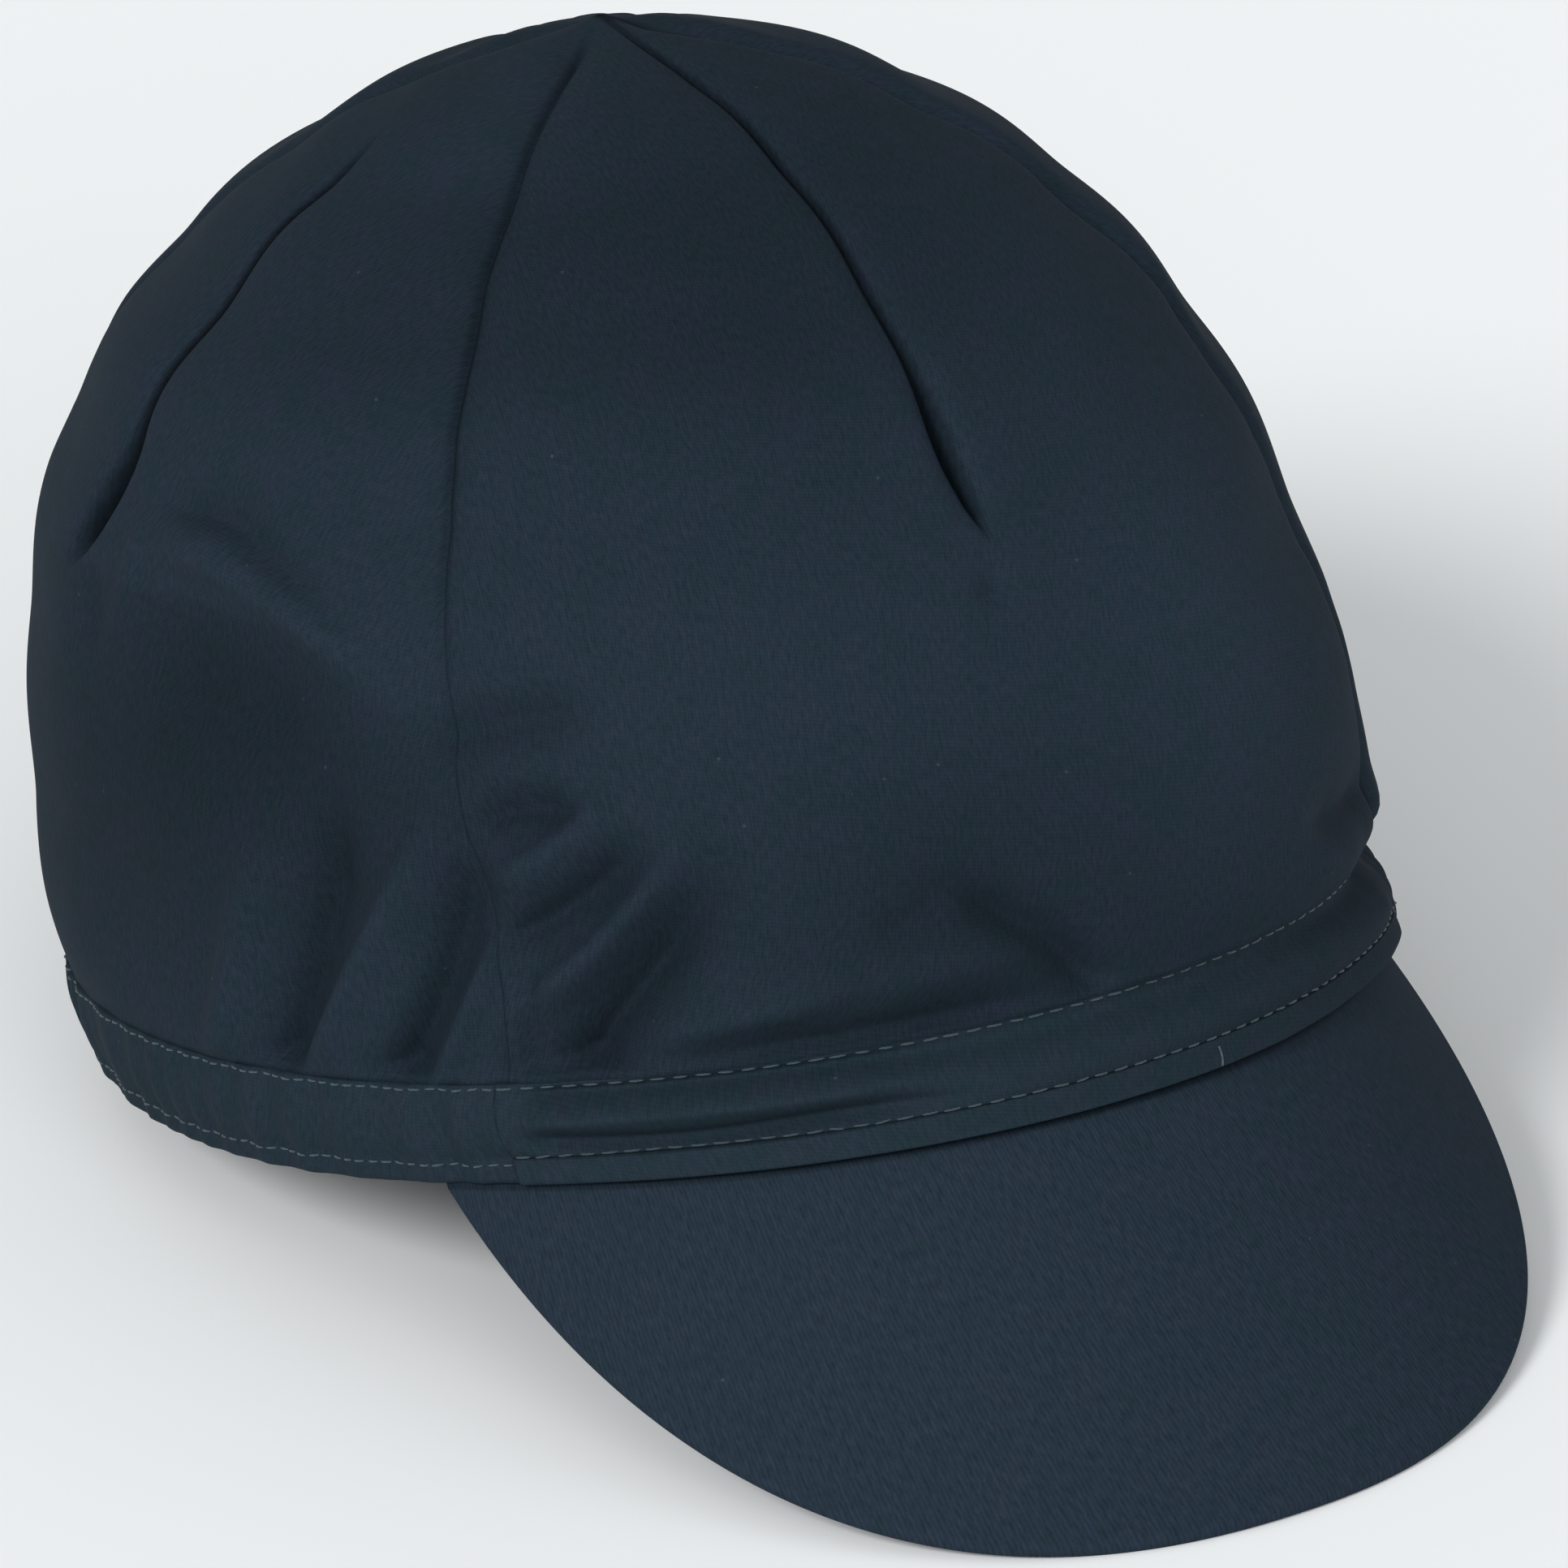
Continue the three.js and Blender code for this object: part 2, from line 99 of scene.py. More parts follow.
def ripples(u: np.ndarray, v: np.ndarray, wavelength: float, seed: int) -> np.ndarray:
    """Irregular soft waves, the same on each run.

    Args:
        u: place across the cloth in mm.
        v: place up the cloth in mm.
        wavelength: the usual distance between two crests in mm.
        seed: picks the pattern.

    Returns:
        A height at each point, mostly between -1 and 1.
    """
    draw = np.random.default_rng(seed)
    total = np.zeros(np.broadcast(u, v).shape)
    waves = 9
    shortest, longest = 0.7, 1.5
    for _ in range(waves):
        heading = draw.uniform(0.0, math.tau)
        length = wavelength * draw.uniform(shortest, longest)
        start = draw.uniform(0.0, math.tau)
        along = u * math.cos(heading) + v * math.sin(heading)
        total += np.sin(math.tau * along / length + start)
    return total / math.sqrt(waves)


@dataclass(frozen=True)
class Unevenness:
    """Irregular soft waves of one depth and wavelength in mm."""

    depth: float
    wavelength: float
    seed: int

    def at(self, u: np.ndarray, v: np.ndarray) -> np.ndarray:
        """Their height at each point across and up the cloth, in mm."""
        return self.depth * ripples(u, v, self.wavelength, self.seed)


class SmoothCurve:
    """A curve through points that never swings past them."""

    def __init__(self, xs: np.ndarray, ys: np.ndarray) -> None:
        """Works out the slope at each point.

        Args:
            xs: places of the points, rising.
            ys: values at the points.
        """
        self.xs = np.asarray(xs, float)
        self.ys = np.asarray(ys, float)
        self.steps = np.diff(self.xs)
        rates = np.diff(self.ys) / self.steps
        before = np.concatenate([rates[:1], rates])
        after = np.concatenate([rates, rates[-1:]])
        alike = before * after > 0
        total = np.where(alike, before + after, 1.0)
        self.slopes = np.where(alike, 2 * before * after / total, 0.0)

    def __call__(self, x: np.ndarray) -> np.ndarray:
        """Reads the curve.

        Args:
            x: places along it.

        Returns:
            Its value at each place.
        """
        i = np.clip(np.searchsorted(self.xs, x, side="left") - 1, 0, len(self.steps) - 1)
        step = self.steps[i]
        u = np.clip((x - self.xs[i]) / step, 0.0, 1.0)
        from_start = self.ys[i] + self.slopes[i] * step * u
        from_end = self.ys[i + 1] - self.slopes[i + 1] * step * (1.0 - u)
        return from_start + (from_end - from_start) * smooth_step(u)


@dataclass(frozen=True)
class Section:
    """A level section of the crown: half an ellipse to the front and half to the rear of its widest line.

    rear_shift is how far that widest line lies behind the cap's own middle.
    """

    height: float
    half_width: float
    front_reach: float
    rear_reach: float
    rear_shift: float


@dataclass(frozen=True)
class Area:
    """A soft area of the cap, with an amount that fades out from its middle.

    angle and height are its middle, and around and up how far it reaches in mm. under is a line of angles
    and heights, if there is one, that the area stays below, and edge is how softly it ends there in mm.
    """

    angle: float
    height: float
    around: float
    up: float
    amount: float
    under: tuple[tuple[float, float], ...] = ()
    edge: float = 2.0

    def at(self, angle: np.ndarray, height: np.ndarray, radius: np.ndarray) -> np.ndarray:
        """The amount at each point.

        Args:
            angle: angle round the cap.
            height: height above the front hem.
            radius: level reach of the form there, in mm.

        Returns:
            The amount, which is 0 far from the area.
        """
        away = radius * np.radians(turn(angle, self.angle)) / self.around
        amount = self.amount * bump(np.hypot(away, (height - self.height) / self.up), 1.0)
        if self.under:
            angles, heights = zip(*self.under)
            amount = amount * smooth_step((np.interp(turn(angle, 0.0), angles, heights) - height) / self.edge)
        return amount


@dataclass(frozen=True)
class Fold:
    """A soft fold of the crown along a path of angles and heights.

    width is how far its flanks reach, and rise how far it stands out, or in when it is negative. lean is how
    many times as steep its flank towards the wearer's left is as the other one. end_share is the share of
    its length over which it fades at each end. A crest is a little sharper than a valley.
    """

    path: tuple[tuple[float, float], ...]
    width: float
    rise: float
    lean: float = 1.0
    steps: int = 10
    end_share: float = 0.4
    crest_sharpness: float = 2.0
    valley_sharpness: float = 1.35

    def relief(self, angle: np.ndarray, height: np.ndarray, radius: float) -> np.ndarray:
        """How far the fold moves the cloth, in mm.

        Args:
            angle: angle round the cap.
            height: height above the front hem.
            radius: the length of cloth that one radian of angle stands for.

        Returns:
            The move at each point, out from the cap.
        """
        knots = np.linspace(0.0, 1.0, len(self.path))
        fine = np.linspace(0.0, 1.0, self.steps)
        first_angle = self.path[0][0]
        across_knots = [radius * math.radians(row[0] - first_angle) for row in self.path]
        across_line = SmoothCurve(knots, across_knots)(fine)
        up_line = SmoothCurve(knots, [row[1] for row in self.path])(fine)
        away = radius * np.radians(turn(angle, first_angle))
        nearest = np.full(away.shape, np.inf)
        side = np.zeros(away.shape)
        share = np.zeros(away.shape)
        for i in range(self.steps - 1):
            run, rise = across_line[i + 1] - across_line[i], up_line[i + 1] - up_line[i]
            length = math.hypot(run, rise)
            along = ((away - across_line[i]) * run + (height - up_line[i]) * rise) / length
            across = ((away - across_line[i]) * rise - (height - up_line[i]) * run) / length
            held = np.clip(along, 0.0, length)
            distance = np.hypot(along - held, across)
            closer = distance < nearest
            nearest = np.where(closer, distance, nearest)
            side = np.where(closer, across, side)
            share = np.where(closer, fine[i] + held / length / (self.steps - 1), share)
        leaning = np.clip(-side / np.maximum(nearest, 0.01), 0.0, 1.0)
        flank = self.width / (1 + (self.lean - 1) * leaning)
        taper = smooth_step(share / self.end_share + 0.1) * smooth_step((1 - share) / self.end_share + 0.1)
        sharpness = self.crest_sharpness if self.rise > 0 else self.valley_sharpness
        return self.rise * taper * np.exp(-((nearest / flank) ** sharpness))


@dataclass(frozen=True)
class Dart:
    """A dart of the crown.

    angle is where it runs down, top the height where its line fades out below the apex, foot the height
    where it ends and widest the height where it gapes most. depth_share is its depth against that of a
    plain dart, and widening how much wider its crease gets there. lean is how far it swings round for each
    mm below lean_from, in degrees, lean_start how softly that begins in mm, and lean_ends_below how far
    under its foot it stops. shade is how much darker its crease is painted, as painted shade at the bottom
    of it, and shade_reach how many crease widths from its line that painted shade spreads.
    """

    angle: float
    top: float
    foot: float = 72.5
    widest: float = 78.0
    depth_share: float = 1.0
    widening: float = 0.8
    lean: float = 0.0
    lean_from: float = 80.0
    lean_start: float = 6.0
    lean_ends_below: float = 4.0
    shade: float = 0.5
    shade_reach: float = 1.3

    def angle_at(self, height: np.ndarray) -> np.ndarray:
        """Its angle at each height, which stays the same from a little below its foot."""
        below = np.clip(self.lean_from - height, 0.0, self.lean_from - self.foot + self.lean_ends_below)
        return self.angle + self.lean * below ** 2 / (below + self.lean_start)


@dataclass
class CapForm:
    """The plain form that the crown and the band share, and how the cap lies at rest."""

    sections: tuple[Section, ...] = (
        Section(0, 80.0, 97.2, 92.5, 0.8),
        Section(12, 82.2, 90.0, 94.5, -2.0),
        Section(31, 81.9, 94.2, 96.4, 1.2),
        Section(54, 78.7, 90.1, 90.9, 7.2),
        Section(76, 70.2, 78.7, 80.0, 7.8),
        Section(95, 55.9, 60.9, 65.1, 6.2),
        Section(108, 39.8, 42.7, 45.3, 5.4),
        Section(117, 20.7, 21.7, 23.6, 5.2),
        Section(122, 0.0, 0.0, 0.0, 6.7),
    )
    hem_side_drop: float = 3.3
    hem_rear_drop: float = 6.8
    hem_drop_reach: float = 75.0
    rest_pitch: float = 10.0311
    set_down: tuple[float, float, float] = (0.0, 13.9748, 22.6014)
    lower_stitch: float = 3.0
    upper_stitch: float = 12.0
    band_join: float = 52.2
    crown_wall: float = 1.4
    band_wall: float = 2.2
    sewn_gap: float = 0.3
    profile_steps: int = 4001
    swells: tuple[Area, ...] = (
        Area(113, 20, 30, 13, 2.6),
        Area(-58, 10.0, 22, 3.1, -3.2),
        Area(-54, 15.5, 20, 4.0, 1.1),
        Area(-58, 0.5, 24, 5.5, 2.7),
    )

    def __post_init__(self) -> None:
        """Makes the curves that the sections stand on."""
        heights = np.array([row.height for row in self.sections], float)
        reaches = np.array([row.front_reach for row in self.sections], float)
        lengths = np.concatenate([[0.0], np.cumsum(np.hypot(np.diff(heights), np.diff(reaches)))])
        self.profile_length = float(lengths[-1])
        shares = lengths / lengths[-1]
        self.height = SmoothCurve(shares, heights)
        self.half_width = SmoothCurve(shares, [row.half_width for row in self.sections])
        self.front_reach = SmoothCurve(shares, reaches)
        self.rear_reach = SmoothCurve(shares, [row.rear_reach for row in self.sections])
        self.rear_shift = SmoothCurve(shares, [row.rear_shift for row in self.sections])
        self.fine_shares = np.linspace(0.0, 1.0, self.profile_steps)
        self.fine_heights = self.height(self.fine_shares)

    def share_at(self, height: np.ndarray) -> np.ndarray:
        """The share of the side profile, from hem to apex, at each height."""
        return np.interp(height, self.fine_heights, self.fine_shares)

    def hem_drop(self, angle: np.ndarray, height: np.ndarray) -> np.ndarray:
        """How much lower the cloth lies at the sides and the rear than at the front.

        Args:
            angle: angle round the cap.
            height: height above the front hem.

        Returns:
            The drop in mm.
        """
        sides = self.hem_side_drop * (1 - np.cos(2 * np.radians(angle))) / 2
        rear = self.hem_rear_drop * (1 - np.cos(np.radians(angle))) / 2
        return (sides + rear) * np.maximum(0.0, 1 - height / self.hem_drop_reach)

    def reach(self, share: np.ndarray, angle: np.ndarray) -> np.ndarray:
        """The level reach from the crown's own middle.

        Args:
            share: share of the side profile.
            angle: angle round the cap.

        Returns:
            The reach in mm.
        """
        forward = np.cos(np.radians(angle))
        reach = np.where(forward > 0, self.front_reach(share), self.rear_reach(share))
        return np.hypot(self.half_width(share) * np.sin(np.radians(angle)), reach * forward)

    def swell(self, angle: np.ndarray, height: np.ndarray) -> np.ndarray:
        """How far the worn cloth stands out from the plain dome in its soft areas, in mm."""
        radius = self.sections[0].half_width
        return sum(area.at(angle, height, radius) for area in self.swells)

    def point(self, share: np.ndarray, angle: np.ndarray) -> np.ndarray:
        """A point of the plain dome.

        Args:
            share: share of the side profile.
            angle: angle round the cap.

        Returns:
            Points in the cap's own frame, in mm, with x, y and z along the last axis.
        """
        share, angle = np.broadcast_arrays(share, angle)
        forward = np.cos(np.radians(angle))
        reach = np.where(forward > 0, self.front_reach(share), self.rear_reach(share))
        x = -self.half_width(share) * np.sin(np.radians(angle))
        y = self.rear_shift(share) - reach * forward
        height = self.height(share)
        return np.stack([x, y, height - self.hem_drop(angle, height)], axis=-1)

    def normal(self, share: np.ndarray, angle: np.ndarray) -> np.ndarray:
        """The outward direction of the plain dome.

        Args:
            share: share of the side profile.
            angle: angle round the cap.

        Returns:
            Directions of length 1, with x, y and z along the last axis.
        """
        nudge = 0.002
        held = np.clip(share, nudge, 1 - 4 * nudge)
        up = self.point(held + nudge, angle) - self.point(held - nudge, angle)
        round_it = self.point(held, angle + 1.0) - self.point(held, angle - 1.0)
        out = np.cross(up, round_it)
        return out / np.linalg.norm(out, axis=-1, keepdims=True)

    def level_normal(self, share: np.ndarray, angle: np.ndarray) -> np.ndarray:
        """The outward direction with no rise or fall, for the band.

        Args:
            share: share of the side profile.
            angle: angle round the cap.

        Returns:
            Level directions of length 1.
        """
        out = self.normal(share, angle)
        out[..., 2] = 0.0
        return out / np.linalg.norm(out, axis=-1, keepdims=True)

    def at_rest(self, points: np.ndarray) -> np.ndarray:
        """Turns points in the cap's own frame to the frame's metres, with the cap set down on the floor.

        Args:
            points: points in mm.

        Returns:
            Points in metres, pressed flat where they would pass the floor.
        """
        pitch = math.radians(self.rest_pitch)
        x, y, z = points[..., 0], points[..., 1], points[..., 2]
        turned_y = y * math.cos(pitch) + z * math.sin(pitch)
        turned_z = z * math.cos(pitch) - y * math.sin(pitch)
        placed = np.stack([x, turned_y, turned_z], axis=-1) + np.array(self.set_down)
        placed[..., 2] = np.maximum(placed[..., 2], 0.0)
        return placed * MM


class MeshMaker:
    """Makes meshes from grids of points."""

    @staticmethod
    def make(name: str, points: np.ndarray, faces: np.ndarray, cloth: np.ndarray) -> bpy.types.Object:
        """Makes one object from its corners and its four-sided faces.

        Args:
            name: the object's name.
            points: corners in metres.
            faces: four corner numbers for each face.
            cloth: place of each corner on the flat cloth, in mm.

        Returns:
            The new object, smooth shaded, with the cloth's places as its UV map.
        """
        mesh = bpy.data.meshes.new(name)
        mesh.vertices.add(len(points))
        mesh.vertices.foreach_set("co", points.astype(np.float32).ravel())
        mesh.loops.add(faces.size)
        mesh.loops.foreach_set("vertex_index", faces.astype(np.int32).ravel())
        mesh.polygons.add(len(faces))
        mesh.polygons.foreach_set("loop_start", np.arange(0, faces.size, 4, dtype=np.int32))
        mesh.polygons.foreach_set("use_smooth", np.ones(len(faces), dtype=bool))
        layer = mesh.uv_layers.new(name="cloth")
        layer.data.foreach_set("uv", cloth[faces.ravel()].astype(np.float32).ravel())
        mesh.update(calc_edges=True)
        mesh.validate()
        piece = bpy.data.objects.new(name, mesh)
        bpy.context.scene.collection.objects.link(piece)
        return piece

    @staticmethod
    def grid_faces(rows: int, columns: int, start: int, flipped: bool) -> np.ndarray:
        """The faces of a grid of corners.

        Args:
            rows: rows of corners.
            columns: corners in a row.
            start: number of the first corner.
            flipped: turns the faces over.

        Returns:
            Four corner numbers for each face.
        """
        number = start + np.arange(rows * columns).reshape(rows, columns)
        faces = np.stack([number[:-1, :-1], number[:-1, 1:], number[1:, 1:], number[1:, :-1]], axis=-1)
        faces = faces.reshape(-1, 4)
        return faces[:, ::-1] if flipped else faces

    @classmethod
    def sheet(cls, name: str, outer: np.ndarray, inner: np.ndarray, cloth: np.ndarray) -> bpy.types.Object:
        """A closed sheet of cloth from its outer and its inner skin.

        Args:
            name: the object's name.
            outer: rows and columns of points in metres.
            inner: the same rows and columns on the inner side.
            cloth: place of each point on the flat cloth in mm.

        Returns:
            The new object.
        """
        rows, columns = outer.shape[:2]
        count = rows * columns
        number = np.arange(count).reshape(rows, columns)
        rim = np.concatenate([number[0, :], number[1:, -1], number[-1, -2::-1], number[-2:0:-1, 0]])
        after = np.roll(rim, -1)
        walls = np.stack([rim, rim + count, after + count, after], axis=-1)
        faces = np.concatenate([
            cls.grid_faces(rows, columns, 0, False),
            cls.grid_faces(rows, columns, count, True),
            walls,
        ])
        points = np.concatenate([outer.reshape(-1, 3), inner.reshape(-1, 3)])
        corners = points[faces]
        middle = points.mean(axis=0)
        across = np.cross(corners[:, 2] - corners[:, 0], corners[:, 3] - corners[:, 1])
        volume = float(((corners.mean(axis=1) - middle) * across).sum())
        faces = faces if volume > 0 else faces[:, ::-1]
        return cls.make(name, points, faces, np.concatenate([cloth.reshape(-1, 2)] * 2))


def add_node(
    tree: bpy.types.NodeTree,
    kind: str,
    settings: dict[str, object] | None = None,
    links: dict[str | int, object] | None = None,
) -> bpy.types.Node:
    """Adds a node to a tree with its settings and links.

    Args:
        tree: the material's node tree.
        kind: the node's type name.
        settings: values for the node's own properties, or for its sockets by name or number.
        links: output sockets to join to the node's inputs, by name or number.

    Returns:
        The new node.
    """
    node = tree.nodes.new(kind)
    for key, value in (settings or {}).items():
        if isinstance(key, int) or key in node.inputs:
            node.inputs[key].default_value = value
        else:
            setattr(node, key, value)
    for key, source in (links or {}).items():
        tree.links.new(source, node.inputs[key])
    return node


class Weave(Enum):
    """How the threads of a cloth cross."""

    PLAIN = "plain"
    TWILL = "twill"


@dataclass(frozen=True)
class WovenCotton:
    """Dyed cotton, woven in a plain or a twill weave and left matt.

    It gives the eye a flat dark surface with a fine even grain and a soft pale edge where it turns away.
    A few pale flecks of lint lie on it. cleft_shade is how much darker the cloth is painted in the cleft
    where it starts, as painted shade, from cleft_start to cleft_reach in mm along it.
    """

    name: str
    weave: Weave
    deep: str
    light: str
    thread_pitch: float
    relief: float
    patch_size: float = 4.5
    grain: float = 0.3
    fleck: str = "37444d"
    fleck_spacing: float = 5.5
    fleck_size: float = 0.3
    fleck_share: float = 0.35
    streak_slant: float = -100.0
    streak_share: float = 0.4
    # Whether the colour is multiplied by the painted light and shade kept on the mesh
    shows_painted_shade: bool = False
    cleft_shade: float = 0.0
    cleft_start: float = 0.8
    cleft_reach: float = 1.4
    ior: float = 1.46
    roughness: float = 0.88
    specular: float = 0.06
    sheen: float = 0.012
    sheen_roughness: float = 0.45
    sheen_tint: str = "9fb2c4"

    def material(self) -> bpy.types.Material:
        """Makes the cloth's material.

        Returns:
            The material, which reads the cloth's own UV map.
        """
        material = bpy.data.materials.new(self.name)
        material.use_nodes = True
        tree = material.node_tree
        tree.nodes.clear()
        place = add_node(tree, "ShaderNodeUVMap", {"uv_map": "cloth"}).outputs["UV"]
        solid = add_node(tree, "ShaderNodeTexCoord").outputs["Object"]
        threads = self.threads(tree, place)
        colour = self.colour(tree, place, solid, threads)
        raised = add_node(
            tree,
            "ShaderNodeBump",
            {"Strength": 1.0, "Distance": self.relief * MM},
            {"Height": threads},
        )
        skin = add_node(
            tree,
            "ShaderNodeBsdfPrincipled",
            {
                "Roughness": self.roughness,
                "IOR": self.ior,
                "Specular IOR Level": self.specular,
                "Sheen Weight": self.sheen,
                "Sheen Roughness": self.sheen_roughness,
                "Sheen Tint": linear(self.sheen_tint),
            },
            {"Base Color": colour, "Normal": raised.outputs["Normal"]},
        )
        add_node(tree, "ShaderNodeOutputMaterial", None, {"Surface": skin.outputs["BSDF"]})
        return material

    def threads(self, tree: bpy.types.NodeTree, place: bpy.types.NodeSocket) -> bpy.types.NodeSocket:
        """The height of the threads, from 0 to 1.

        Args:
            tree: the material's node tree.
            place: place on the flat cloth in mm.

        Returns:
            The socket that gives the height.
        """
        # Real threads lie 0.2 to 0.3 mm apart, too fine to show here, so they are drawn about twice as far
        # apart, with the fluff that covers them
        slant = math.radians(self.streak_slant)
        turned = add_node(tree, "ShaderNodeMapping", {"Rotation": (0, 0, slant)}, {"Vector": place})
        along = turned.outputs["Vector"]
        streak = add_node(
            tree,
            "ShaderNodeVectorMath",
            {"operation": "MULTIPLY", 1: (self.streak_share, 1.0, 1.0)},
            {0: along},
        )
        # The bands repeat every 0.1 pi units at a scale of 1
        scale = 0.1 * math.pi / self.thread_pitch
        uneven = {"Scale": scale, "Distortion": 3.0, "Detail": 2.0, "Detail Scale": 2.2}
        bands = [
            add_node(
                tree,
                "ShaderNodeTexWave",
                {"bands_direction": way, **uneven},
                {"Vector": along},
            ).outputs["Fac"]
            for way in ("X", "Y")
        ]
        share_across = 0.85 if self.weave is Weave.TWILL else 0.5
        woven = add_node(tree, "ShaderNodeMix", {0: share_across}, {2: bands[0], 3: bands[1]})
        fluff = add_node(
            tree,
            "ShaderNodeTexNoise",
            {"Scale": 0.9 / self.thread_pitch, "Detail": 3.0},
            {"Vector": streak.outputs["Vector"]},
        )
        fluff_share = 0.78
        mixed = add_node(
            tree,
            "ShaderNodeMix",
            {0: fluff_share},
            {2: woven.outputs[0], 3: fluff.outputs["Fac"]},
        )
        return mixed.outputs[0]

    def colour(
        self,
        tree: bpy.types.NodeTree,
        place: bpy.types.NodeSocket,
        solid: bpy.types.NodeSocket,
        threads: bpy.types.NodeSocket,
    ) -> bpy.types.NodeSocket:
        """The dyed colour, a little uneven from patch to patch and from thread to thread.

        Painted light and shade is laid over it where the cloth has some.

        Args:
            tree: the material's node tree.
            place: place on the flat cloth in mm.
            solid: place on the object in metres.
            threads: height of the threads.

        Returns:
            The socket that gives the colour.
        """
        patches = add_node(
            tree,
            "ShaderNodeTexNoise",
            {"Scale": 1 / (self.patch_size * MM), "Detail": 4.0},
            {"Vector": solid},
        )
        spread = add_node(
            tree,
            "ShaderNodeMapRange",
            {"From Min": 0.35, "From Max": 0.65},
            {"Value": patches.outputs["Fac"]},
        )
        dyed = add_node(
            tree,
            "ShaderNodeMix",
            {"data_type": "RGBA", 6: linear(self.deep), 7: linear(self.light)},
            {0: spread.outputs["Result"]},
        )
        shade = add_node(
            tree,
            "ShaderNodeMapRange",
            {"From Min": 0.2, "From Max": 0.8, "To Min": 1 - self.grain, "To Max": 1 + self.grain},
            {"Value": threads},
        )
        grained = add_node(
            tree,
            "ShaderNodeVectorMath",
            {"operation": "SCALE"},
            {0: dyed.outputs[2], "Scale": shade.outputs["Result"]},
        )
        specks = add_node(
            tree,
            "ShaderNodeTexVoronoi",
            {"Scale": 1 / (self.fleck_spacing * MM)},
            {"Vector": solid},
        )
        near = add_node(
            tree,
            "ShaderNodeMapRange",
            {
                "From Min": 0.0,
                "From Max": self.fleck_size / self.fleck_spacing,
                "To Min": 1.0,
                "To Max": 0.0,
            },
            {"Value": specks.outputs["Distance"]},
        )
        pick = add_node(tree, "ShaderNodeSeparateColor", None, {"Color": specks.outputs["Color"]})
        few = add_node(
            tree,
            "ShaderNodeMath",
            {"operation": "LESS_THAN", 1: self.fleck_share},
            {0: pick.outputs["Red"]},
        )
        shown = add_node(
            tree,
            "ShaderNodeMath",
            {"operation": "MULTIPLY"},
            {0: near.outputs["Result"], 1: few.outputs["Value"]},
        )
        flecked = add_node(
            tree,
            "ShaderNodeMix",
            {"data_type": "RGBA", 7: linear(self.fleck)},
            {0: shown.outputs["Value"], 6: grained.outputs["Vector"]},
        )
        colour = flecked.outputs[2]
        # The crown's painted light and shade, read from its mesh, scales the colour
        if self.shows_painted_shade:
            painted_shade = add_node(tree, "ShaderNodeAttribute", {"attribute_name": PAINTED_SHADE})
            colour = self.scaled(tree, colour, painted_shade.outputs["Fac"])
        # Painted shade: a dark strip on the peak just under the hem's edge, where the hem shades it
        if self.cleft_shade:
            along = add_node(tree, "ShaderNodeSeparateXYZ", None, {"Vector": place})
            painted_cleft_light = add_node(
                tree,
                "ShaderNodeMapRange",
                {
                    "interpolation_type": "SMOOTHSTEP",
                    "From Min": self.cleft_start,
                    "From Max": self.cleft_reach,
                    "To Min": 1 - self.cleft_shade,
                    "To Max": 1.0,
                },
                {"Value": along.outputs["Y"]},
            )
            colour = self.scaled(tree, colour, painted_cleft_light.outputs["Result"])
        return colour

    @staticmethod
    def scaled(
        tree: bpy.types.NodeTree,
        colour: bpy.types.NodeSocket,
        share: bpy.types.NodeSocket,
    ) -> bpy.types.NodeSocket:
        """A colour times a share.

        Args:
            tree: the material's node tree.
            colour: the colour.
            share: what it is multiplied by.

        Returns:
            The socket that gives the product.
        """
        product = add_node(
            tree,
            "ShaderNodeVectorMath",
            {"operation": "SCALE"},
            {0: colour, "Scale": share},
        )
        return product.outputs["Vector"]


@dataclass(frozen=True)
class SewingThread:
    """Spun polyester sewing thread, two plies twisted together.

    It gives the eye a row of short stitches, a shade lighter than the cloth and with a faint gleam.
    """

    name: str = "spun_polyester_thread"
    deep: str = "2b3a44"
    light: str = "3c4e58"
    ply_pitch: float = 0.5
    relief: float = 0.05
    ior: float = 1.5
    roughness: float = 0.6
    sheen: float = 0.15
    sheen_roughness: float = 0.4

    def material(self) -> bpy.types.Material:
        """Makes the thread's material, with its twist as slanting bands.

        Returns:
            The material, which reads the thread's own UV map.
        """
        material = bpy.data.materials.new(self.name)
        material.use_nodes = True
        tree = material.node_tree
        tree.nodes.clear()
        place = add_node(tree, "ShaderNodeUVMap", {"uv_map": "cloth"}).outputs["UV"]
        twist = add_node(
            tree,
            "ShaderNodeTexWave",
            {"bands_direction": "DIAGONAL", "Scale": 0.1 * math.pi / self.ply_pitch, "Distortion": 0.6},
            {"Vector": place},
        ).outputs["Fac"]
        colour = add_node(
            tree,
            "ShaderNodeMix",
            {"data_type": "RGBA", 6: linear(self.deep), 7: linear(self.light)},
            {0: twist},
        )
        raised = add_node(
            tree,
            "ShaderNodeBump",
            {"Strength": 1.0, "Distance": self.relief * MM},
            {"Height": twist},
        )
        skin = add_node(
            tree,
            "ShaderNodeBsdfPrincipled",
            {
                "Roughness": self.roughness,
                "IOR": self.ior,
                "Sheen Weight": self.sheen,
                "Sheen Roughness": self.sheen_roughness,
            },
            {"Base Color": colour.outputs[2], "Normal": raised.outputs["Normal"]},
        )
        add_node(tree, "ShaderNodeOutputMaterial", None, {"Surface": skin.outputs["BSDF"]})
        return material


def dress(
    piece: bpy.types.Object,
    material: bpy.types.Material,
    nodes: tuple[str, ...] = (),
) -> None:
    """Gives a piece its finish and its body, and hides the solids of the frame that it stands for.

    Args:
        piece: the object to dress.
        material: its finish.
        nodes: solids of the frame that the piece replaces.
    """
    piece.data.materials.clear()
    piece.data.materials.append(material)
    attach(piece, BODY)
    if nodes:
        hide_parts(*nodes)
    log.info("%s: %d faces", piece.name, len(piece.data.polygons))


